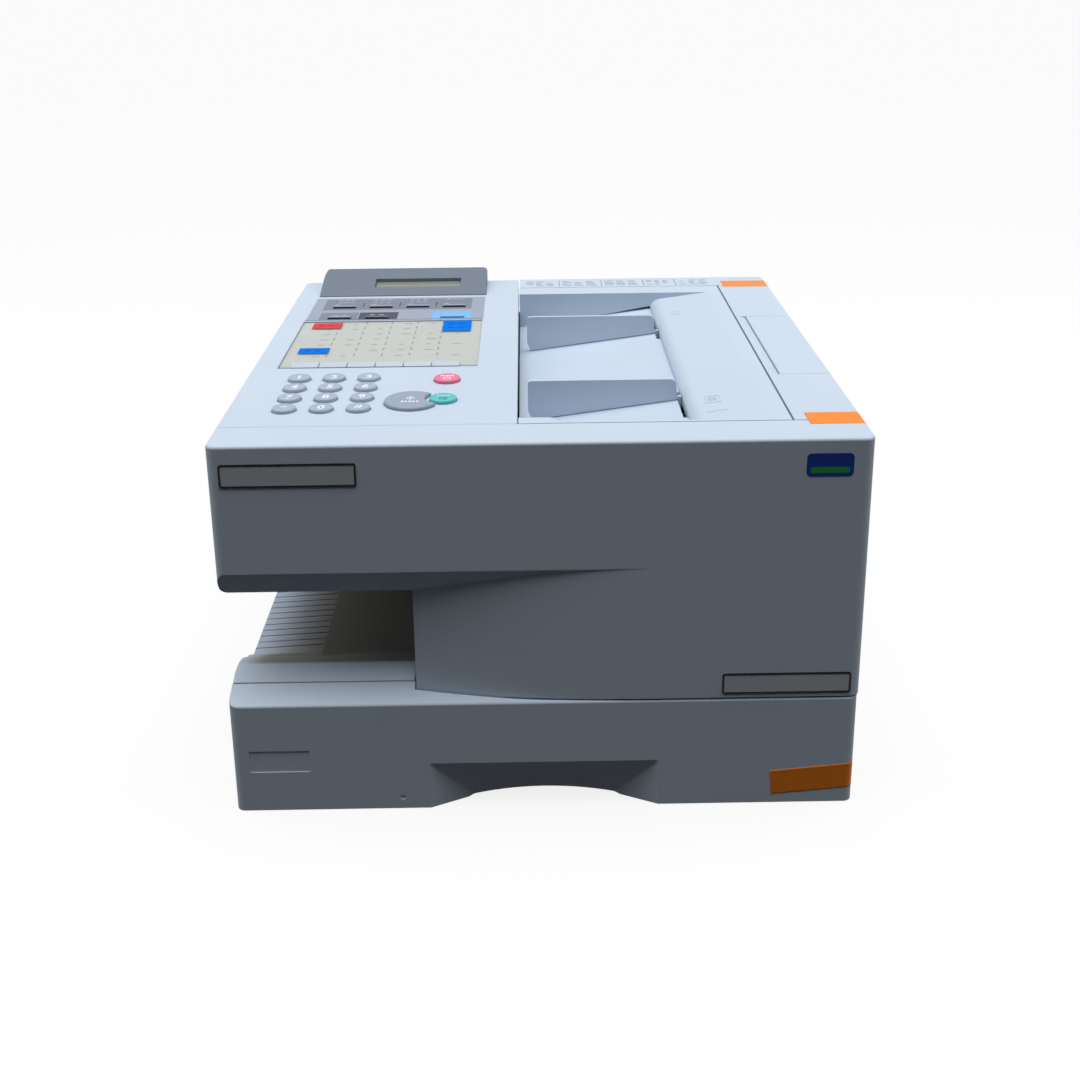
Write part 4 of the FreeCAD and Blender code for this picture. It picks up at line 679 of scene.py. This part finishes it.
def number_legends():
    """White figures on the twelve number keys."""
    for key, figure in [("key_" + n, n) for n in "1234567890"] + [("key_star", "*"), ("key_hash", "#")]:
        low, high = span(key)
        mesh = lettering(figure, FIGURE_H * FIGURE_SHARE.get(figure, 1.0), INK_T)
        shifted(mesh, (low.x + high.x) / 2, (low.y + high.y) / 2, 0)
        settle(mesh, key, SEAM_LIFT)
        piece("figure_" + key, mesh, key, white_ink)


def key_icon(key, loops, ink):
    """Mark on a key, drawn about the key's middle."""
    low, high = span(key)
    mesh = cut_sheet("mark_" + key, loops, 0.0, INK_T)
    shifted(mesh, (low.x + high.x) / 2, (low.y + high.y) / 2, 0)
    settle(mesh, key, SEAM_LIFT)
    piece("mark_" + key, mesh, key, ink)


def key_words(key, x, y, width, ink):
    """Small print on a key as a row of short strokes, about a point measured from the key's middle."""
    low, high = span(key)
    count = 5
    pitch = width / count
    length = pitch * 0.72
    mesh = strokes("words_" + key, count, 1, (pitch, 1.0), (length, 2.6), ink, shortest=0.8, seed=4)
    shifted(mesh, (low.x + high.x) / 2 + x - length / 2, (low.y + high.y) / 2 + y, 0)
    settle(mesh, key, SEAM_LIFT)
    piece("words_" + key, mesh, key)


def key_icons():
    """Plain marks: a diamond with a bar for start, a ring with a bar for stop, a sheet for copy."""
    diamond = [(0, -1.0), (3.4, 2.6), (0, 6.2), (-3.4, 2.6)]
    inner = [(0, 0.0), (2.4, 2.6), (0, 5.2), (-2.4, 2.6)]
    key_icon("start_key", [diamond, inner, rounded((-0.5, 0.5), (1.0, 4.2))], white_ink)
    key_words("start_key", 0.0, -4.6, 13.0, white_ink)
    key_icon("stop_key", [ring(0, -1.6, 3.0), ring(0, -1.6, 2.2), rounded((-1.2, 1.2), (-2.0, -1.2))],
             white_ink)
    key_words("stop_key", 0.0, 4.0, 10.0, white_ink)
    key_icon("copy_key", [rounded((-2.6, 2.6), (-4.4, 0.6), 0.5), rounded((-1.9, 1.9), (-3.7, -0.1), 0.3),
                          rounded((0.2, 1.5), (-3.4, -1.6))], teal_ink)
    key_words("copy_key", 0.0, 4.0, 9.0, pale_ink)


# Function zone and directory


def bar_holes(names):
    """Holes for the bars, a little wider than the bars above their flanges."""
    margin = BAR_FLANGE - BAR_GAP
    holes = []
    for name in names:
        low, high = span(name)
        holes.append(((low.x + margin, high.x - margin), (low.y + margin, high.y - margin)))
    return holes


def function_zone():
    """Printed film with its coloured bands, pierced for the bars."""
    upper, lower = bar_holes(UPPER_BARS), bar_holes(LOWER_BARS)
    level = TOP_Z + SEAM_LIFT
    loops = [rounded(ZONE_X, ZONE_Y)] + [rounded(x, y, BAR_HOLE_R) for x, y in upper + lower]
    piece("function_film", cut_sheet("function_film", loops, level, FILM_T), "panel", zone_film)
    level += FILM_T + SEAM_LIFT
    loops = [rounded(UPPER_BAND_X, UPPER_BAND_Y, 1.0)] + [rounded(x, y, BAR_HOLE_R) for x, y in upper]
    piece("function_band_upper", cut_sheet("function_band_upper", loops, level, BAND_T), "panel", band_grey)
    inks = {"band_grey": band_grey, "band_dark": band_dark, "band_blue": band_blue}
    for (name, x), hole in zip(LOWER_BANDS.items(), lower):
        loops = [rounded(x, (ZONE_Y[0], LOWER_BAND_TOP_Y)), rounded(*hole, BAR_HOLE_R)]
        piece("function_" + name, cut_sheet(name, loops, level, BAND_T), "panel", inks[name])
    function_print(upper, lower, level + BAND_T + SEAM_LIFT)


def function_print(upper, lower, level):
    """Low-contrast small print beside the bars as strokes, and short marks between the upper bars. The last
    upper bar has one line of print, the others two."""
    pitch, size, last_y = (5.6, 8.4), (4.8, 2.2), 147.6
    number_y, number = 131.6, (4.4, 2.0)
    for n, (x, _) in enumerate(upper):
        rows = 1 if n == 3 else 2
        words = strokes("words_upper_%d" % n, 3, rows, pitch, size, light_ink, seed=n)
        shifted(words, sum(x) / 2 - size[0] / 2, last_y - pitch[1] / 2 * (rows - 1), level)
        piece("function_words_upper_%d" % (n + 1), words, "panel")
        mark = strokes("number_upper_%d" % n, 1, 1, (1.0, 1.0), number, light_ink, shortest=1.0)
        piece("function_number_upper_%d" % (n + 1), shifted(mark, x[0] + 1.0, number_y, level), "panel")
    pitch, size = (7.6, 1.0), (6.4, 1.9)
    for n, (x, y) in enumerate(lower[:2]):
        words = strokes("words_lower_%d" % n, 2, 1, pitch, size, light_ink, seed=n + 7)
        shifted(words, sum(x) / 2 - size[0] / 2, y[1] + 7.5, level)
        piece("function_words_lower_%d" % (n + 1), words, "panel")
    bar_pitch = upper[1][0][0] - upper[0][0][0]
    middle = (upper[1][0][1] + upper[2][0][0]) / 2
    size, divider_y = (0.9, 14.0), 130.0
    marks = strokes("dividers", 3, 1, (bar_pitch, 1.0), size, dark_ink, shortest=1.0)
    piece("function_dividers", shifted(marks, middle - size[0] / 2, divider_y, level), "panel")


def directory_card():
    """Beige card under the clear flap, with dashed columns and faint entries left of them."""
    floor = CARD_FLOOR_Z + SEAM_LIFT
    low, high = span("directory_cover")
    x, y = (low.x + 2.2, high.x - 2.2), (low.y + 7.6, high.y)
    card = cut_sheet("directory_card", [rounded(x, y, 0.8)], floor, CARD_T)
    piece("directory_card", card, "panel", card_stock)
    level = floor + CARD_T + SEAM_LIFT
    pitch, middle, dash = (21.6, 15.4), (-121.6, 31.0), (1.3, 7.4)
    dashes = strokes("card_dashes", 5, 7, pitch, dash, card_ink, shortest=1.0)
    piece("directory_columns", shifted(dashes, middle[0] - dash[0] / 2, middle[1], level), "panel")
    words = strokes("card_words", 6, 7, pitch, (8.0, 2.6), faint_ink, shortest=0.4, share=0.75, seed=5)
    piece("directory_entries", shifted(words, middle[0], middle[1] - 3.0, level), "panel")


def directory_stickers():
    """Three paper labels stuck on the flap, with strokes as their print."""
    level = FLAP_TOP_Z + SEAM_LIFT
    pitch, size = (8.0, 12.0), (6.6, 2.4)
    labels = (("sticker_red", (-187.0, -162.8), (58.5, 74.8), red_label, red_ink),
              ("sticker_blue_right", (-78.1, -54.4), (46.3, 78.8), blue_label, blue_ink),
              ("sticker_blue_left", (-187.7, -163.8), (-13.3, 1.2), blue_label, blue_ink))
    for name, x, y, finish, ink in labels:
        piece(name, cut_sheet(name, [rounded(x, y, 0.6)], level, STICKER_T), "directory", finish)
        rows = 2 if y[1] - y[0] > 20 else 1
        marks = strokes(name + "_words", 2, rows, pitch, size, ink, shortest=0.6, seed=rows)
        shifted(marks, (sum(x) - size[0]) / 2, sum(y) / 2, level + STICKER_T + SEAM_LIFT)
        piece(name + "_print", marks, "directory")


# Tape


def tape(name, path, width, body):
    """Strip of tape along a path of (point, outward normal, direction across the strip).
    The ends are cut on a toothed blade, and the strip has small wrinkles and lifted ends."""
    lengths = [0.0]
    for here, there in zip(path, path[1:]):
        lengths.append(lengths[-1] + (there[0] - here[0]).length)
    total = lengths[-1]
    columns = TAPE_COLUMNS

    def at(s):
        n = next((n for n in range(1, len(path)) if s <= lengths[n]), len(path) - 1)
        share = (s - lengths[n - 1]) / (lengths[n] - lengths[n - 1])
        point, out, across = (a.lerp(b, share) for a, b in zip(path[n - 1], path[n]))
        return point, out.normalized(), across.normalized()

    rows = max(8, int(total / TAPE_ROW))
    mesh = bpy.data.meshes.new(name)
    work = bmesh.new()
    grid = {}
    for i in range(rows + 1):
        for j in range(columns + 1):
            v = j / columns
            tooth = TAPE_TOOTH * abs((v * width / TAPE_TOOTH_PITCH) % 1 - 0.5) * 2
            s = tooth + (total - 2 * tooth) * i / rows
            point, out, across = at(s)
            curl = max(0.0, 1 - min(s, total - s) / TAPE_END_LENGTH) ** 2
            # A long wave and a shorter one, each from its own slice of the noise.
            wave = noise.noise(Vector((s * 0.11, v * width * 0.35, 7.3)))
            wave += 0.5 * noise.noise(Vector((s * 0.5, v * width * 0.2, 2.1)))
            height = TAPE_REST + TAPE_END_LIFT * curl + TAPE_WRINKLE * max(-0.6, wave)
            base = point + across * (v - 0.5) * width
            grid[i, j, 0] = work.verts.new((base + out * height) * MM)
            grid[i, j, 1] = work.verts.new((base + out * (height + TAPE_T)) * MM)
    cells = [[(i, j, k), (i + 1, j, k), (i + 1, j + 1, k), (i, j + 1, k)]
             for i in range(rows) for j in range(columns) for k in (0, 1)]
    cells += [[(i, j, 0), (i + 1, j, 0), (i + 1, j, 1), (i, j, 1)] for i in range(rows) for j in (0, columns)]
    cells += [[(i, j, 0), (i, j + 1, 0), (i, j + 1, 1), (i, j, 1)] for j in range(columns) for i in (0, rows)]
    for corners in cells:
        work.faces.new([grid[corner] for corner in corners])
    bmesh.ops.recalc_face_normals(work, faces=work.faces)
    work.to_mesh(mesh)
    work.free()
    for face in mesh.polygons:
        face.use_smooth = True
    piece(name, mesh, body, orange_tape)


def over_edge(x0, y, side_z, steps=6):
    """Path along the top from x0, over the rounded right edge and down the side."""
    up, back, r = Vector((0, 0, 1)), Vector((0, 1, 0)), EDGE_R
    path = [(Vector((x0, y, TOP_Z)), up, back), (Vector((SIDE_X - r, y, TOP_Z)), up, back)]
    for n in range(1, steps + 1):
        turn = math.radians(90 * n / steps)
        out = Vector((math.sin(turn), 0, math.cos(turn)))
        path.append((Vector((SIDE_X - r, y, TOP_Z - r)) + r * out, out, back))
    return path + [(Vector((SIDE_X, y, side_z)), Vector((1, 0, 0)), back)]


def round_corner(start, slope, corner_x, r, end_y, steps=6):
    """Path along the front from the start, rising by the slope, round the right corner and along the side."""
    up = Vector((0, 0, 1))

    def step(x, y, run, out):
        return Vector((x, y, start.z + slope * run)), out, up - slope * up.cross(out)

    x, y = corner_x - r, start.y + r
    path = [step(start.x, start.y, 0.0, Vector((0, -1, 0)))]
    for n in range(steps + 1):
        turn = math.radians(90 * n / steps)
        out = Vector((math.sin(turn), -math.cos(turn), 0))
        path.append(step(x + r * out.x, y + r * out.y, x - start.x + r * turn, out))
    run = x - start.x + r * math.pi / 2 + end_y - y
    return path + [step(corner_x, end_y, run, Vector((1, 0, 0)))]


def shipping_tape():
    """Two strips over the door's right edge and one round the corner of the cassette."""
    tape("tape_rear", over_edge(173.0, 192.0, 250.0), 22.0, "door")
    tape("tape_front", over_edge(177.5, -180.8, 247.0), 22.5, "door")
    high = span("cassette_front")[1]
    start = Vector((156.2, FRONT_Y, 16.5))
    slope, corner_r, end_y = 0.088, 6.0, high.y - 1.5
    tape("tape_cassette", round_corner(start, slope, high.x, corner_r, end_y), 18.8, "cassette")


# Labels and small print


def front_labels():
    """Bare name plates: a pale face inside a raised dark border."""
    face_t, border_t = 0.35, 0.5
    plates = {"plate_left": ((-206.8, -118.7), (241.8, 257.8)),
              "plate_right": ((120.8, 207.9), (86.6, 102.0))}
    for name, (x, z) in plates.items():
        face = cut_sheet(name, [inset(x, z, 0.3, 1.4)], SEAM_LIFT, face_t)
        face.transform(facing_front(FRONT_Y))
        piece(name, face, "root", plate_white)
        loops = [rounded(x, z, 1.8), inset(x, z, 1.3, 0.7)]
        border = cut_sheet(name + "_border", loops, SEAM_LIFT, border_t)
        border.transform(facing_front(FRONT_Y))
        piece(name + "_border", border, "root", plate_border)


def front_sticker():
    """Plain sticker in two colours."""
    x, z = (170.5, 201.0), (244.0, 260.0)
    base = cut_sheet("sticker_front", [rounded(x, z, 3.0)], SEAM_LIFT, STICKER_T)
    base.transform(facing_front(FRONT_Y))
    piece("sticker_front", base, "root", sticker_blue)
    loop = inset(x, (z[0], z[0] + 9.0), 2.4, 1.6)
    stripe = cut_sheet("sticker_front_stripe", [loop], 2 * SEAM_LIFT + STICKER_T, STICKER_T / 2)
    stripe.transform(facing_front(FRONT_Y))
    piece("sticker_front_stripe", stripe, "root", sticker_green)


def rear_strip_print():
    """Five blocks of small grey print along the rear strip, as plain strokes."""
    starts = (-8.0, 25.6, 65.0, 104.0, 134.0)
    ends = (19.6, 58.8, 97.8, 127.0, 162.7)
    rules = (22.6, 61.8, 101.0, 130.5)
    rule_y, rule_half = (190.0, 212.0), 0.35
    columns, rows, row_pitch = 3, 4, 5.0
    level = TOP_Z + SEAM_LIFT
    for n, (x0, x1) in enumerate(zip(starts, ends)):
        pitch = (x1 - x0) / columns
        words = strokes("strip_block_%d" % n, columns, rows, (pitch, row_pitch), (pitch - 1.4, 1.5), grey_ink,
                        shortest=0.55, share=0.92, seed=n + 3)
        shifted(words, (x0 + x1 - pitch) / 2, sum(rule_y) / 2, level)
        piece("rear_strip_block_%d" % (n + 1), words, "root")
    for n, x in enumerate(rules):
        loop = rounded((x - rule_half, x + rule_half), rule_y)
        rule = cut_sheet("strip_rule_%d" % n, [loop], level, STROKE_T)
        piece("rear_strip_rule_%d" % (n + 1), rule, "root", grey_ink)


def tray_icons():
    """Small raised marks on the tray's outer surface: a sheet with lines, an arrow and a ring."""
    x, y = (116.5, 127.5), (-133.0, -119.0)
    sheet = [rounded(x, y, 0.8), inset(x, y, 0.7, 0.5)]
    sheet += [rounded((119.0, 125.0), (line, line + 0.7)) for line in (-123.5, -126.0, -128.5)]
    arrow = [[(115.0, -150.3), (119.0, -153.3), (119.0, -151.0), (129.0, -151.0), (129.0, -149.6),
              (119.0, -149.6), (119.0, -147.3)]]
    rear = [ring(121.0, 108.0, 5.0), ring(121.0, 108.0, 4.3), rounded((118.5, 123.5), (107.6, 108.4))]
    for name, loops, height in (("tray_mark_sheet", sheet, 0.2), ("tray_mark_arrow", arrow, 0.2),
                                ("tray_mark_rear", rear, 0.1)):
        mesh = cut_sheet(name, loops, 0.0, height)
        settle(mesh, "document_tray", 0.0)
        piece(name, mesh, "root", cover_abs)


# Stage, light and camera


def seen_rays(tree):
    """1 for what is seen directly, in a mirror or through glass, 0 for light on its way to a surface."""
    path = add(tree, "ShaderNodeLightPath").outputs
    mirror = add(tree, "ShaderNodeMath", {0: path["Is Glossy Ray"], 1: path["Is Transmission Ray"]},
                 operation="MAXIMUM")
    return add(tree, "ShaderNodeMath", {0: path["Is Camera Ray"], 1: mirror}, operation="MAXIMUM")


def stage():
    """White floor that keeps the object's shadow. Only seen directly or in reflections is it white; the
    light it throws back is that of a dark table."""
    mesh = bpy.data.meshes.new("floor")
    corners = [(x * FLOOR_REACH, y * FLOOR_REACH, 0) for x, y in ((-1, -1), (1, -1), (1, 1), (-1, 1))]
    mesh.from_pydata(corners, [], [(0, 1, 2, 3)])
    floor = bpy.data.objects.new("floor", mesh)
    bpy.context.scene.collection.objects.link(floor)
    material, tree = start_material("seamless_paper_white")[:2]
    seen = seen_rays(tree)
    shade = add(tree, "ShaderNodeMix", {0: seen, 6: linear("#292B2D"), 7: linear("#FFFFFF")},
                data_type="RGBA")
    paper = add(tree, "ShaderNodeBsdfDiffuse", {"Color": shade.outputs[2]})
    glow = add(tree, "ShaderNodeEmission", {"Color": linear("#FFFFFF"), "Strength": seen})
    surface = add(tree, "ShaderNodeMixShader", {0: FLOOR_GLOW, 1: paper, 2: glow})
    add(tree, "ShaderNodeOutputMaterial", {"Surface": surface})
    mesh.materials.append(material)


def room_light():
    """Wide overhead light, a little from the front, with weak light from both sides and a dim room."""
    world = bpy.data.worlds.new("studio")
    bpy.context.scene.world = world
    world.use_nodes = True
    tree = world.node_tree
    tree.nodes.clear()
    glow = add(tree, "ShaderNodeMapRange", {"Value": seen_rays(tree), "To Min": ROOM_GLOW, "To Max": 1.0})
    sky = add(tree, "ShaderNodeBackground", {"Color": linear("#FFFFFF"), "Strength": glow})
    add(tree, "ShaderNodeOutputWorld", {"Surface": sky})
    lamp = bpy.data.lights.new("ceiling_light", "SUN")
    lamp.energy = CEILING_STRENGTH
    lamp.angle = math.radians(CEILING_SPREAD)
    ceiling = bpy.data.objects.new("ceiling_light", lamp)
    ceiling.rotation_euler = (math.radians(CEILING_TILT), 0, 0)
    bpy.context.scene.collection.objects.link(ceiling)
    for side in (-1, 1):
        lamp = bpy.data.lights.new("side_light", "AREA")
        lamp.energy = SIDE_POWER
        lamp.size = SIDE_SIZE
        lit = bpy.data.objects.new("side_light", lamp)
        lit.location = (side * SIDE_AT[0], *SIDE_AT[1:])
        lit.rotation_euler = (Vector(SIDE_AIM) - lit.location).to_track_quat("-Z", "Y").to_euler()
        bpy.context.scene.collection.objects.link(lit)


def camera():
    """The photo's point of view."""
    data = bpy.data.cameras.new("photo_view")
    data.sensor_width = 36.0
    data.lens = CAMERA_LENS
    data.shift_y = CAMERA_SHIFT
    data.clip_end = 200.0
    view = bpy.data.objects.new("photo_view", data)
    pitch, yaw, roll = (math.radians(a) for a in (CAMERA_PITCH, CAMERA_YAW, CAMERA_ROLL))
    forward = Vector((math.sin(yaw) * math.cos(pitch), math.cos(yaw) * math.cos(pitch), -math.sin(pitch)))
    level = Vector((math.cos(yaw), -math.sin(yaw), 0))
    upright = level.cross(forward)
    right = math.cos(roll) * level + math.sin(roll) * upright
    up = math.cos(roll) * upright - math.sin(roll) * level
    turn = Matrix((right, up, -forward)).transposed().to_4x4()
    view.matrix_world = Matrix.Translation(Vector(CAMERA_AT) * MM) @ turn
    bpy.context.scene.collection.objects.link(view)
    bpy.context.scene.camera = view


paint_covers()
paint_keys()
paint_works()
lift_coils()
number_legends()
key_icons()
function_zone()
directory_card()
directory_stickers()
shipping_tape()
front_labels()
front_sticker()
rear_strip_print()
tray_icons()
stage()
room_light()
camera()
bpy.context.scene.view_settings.view_transform = "Standard"
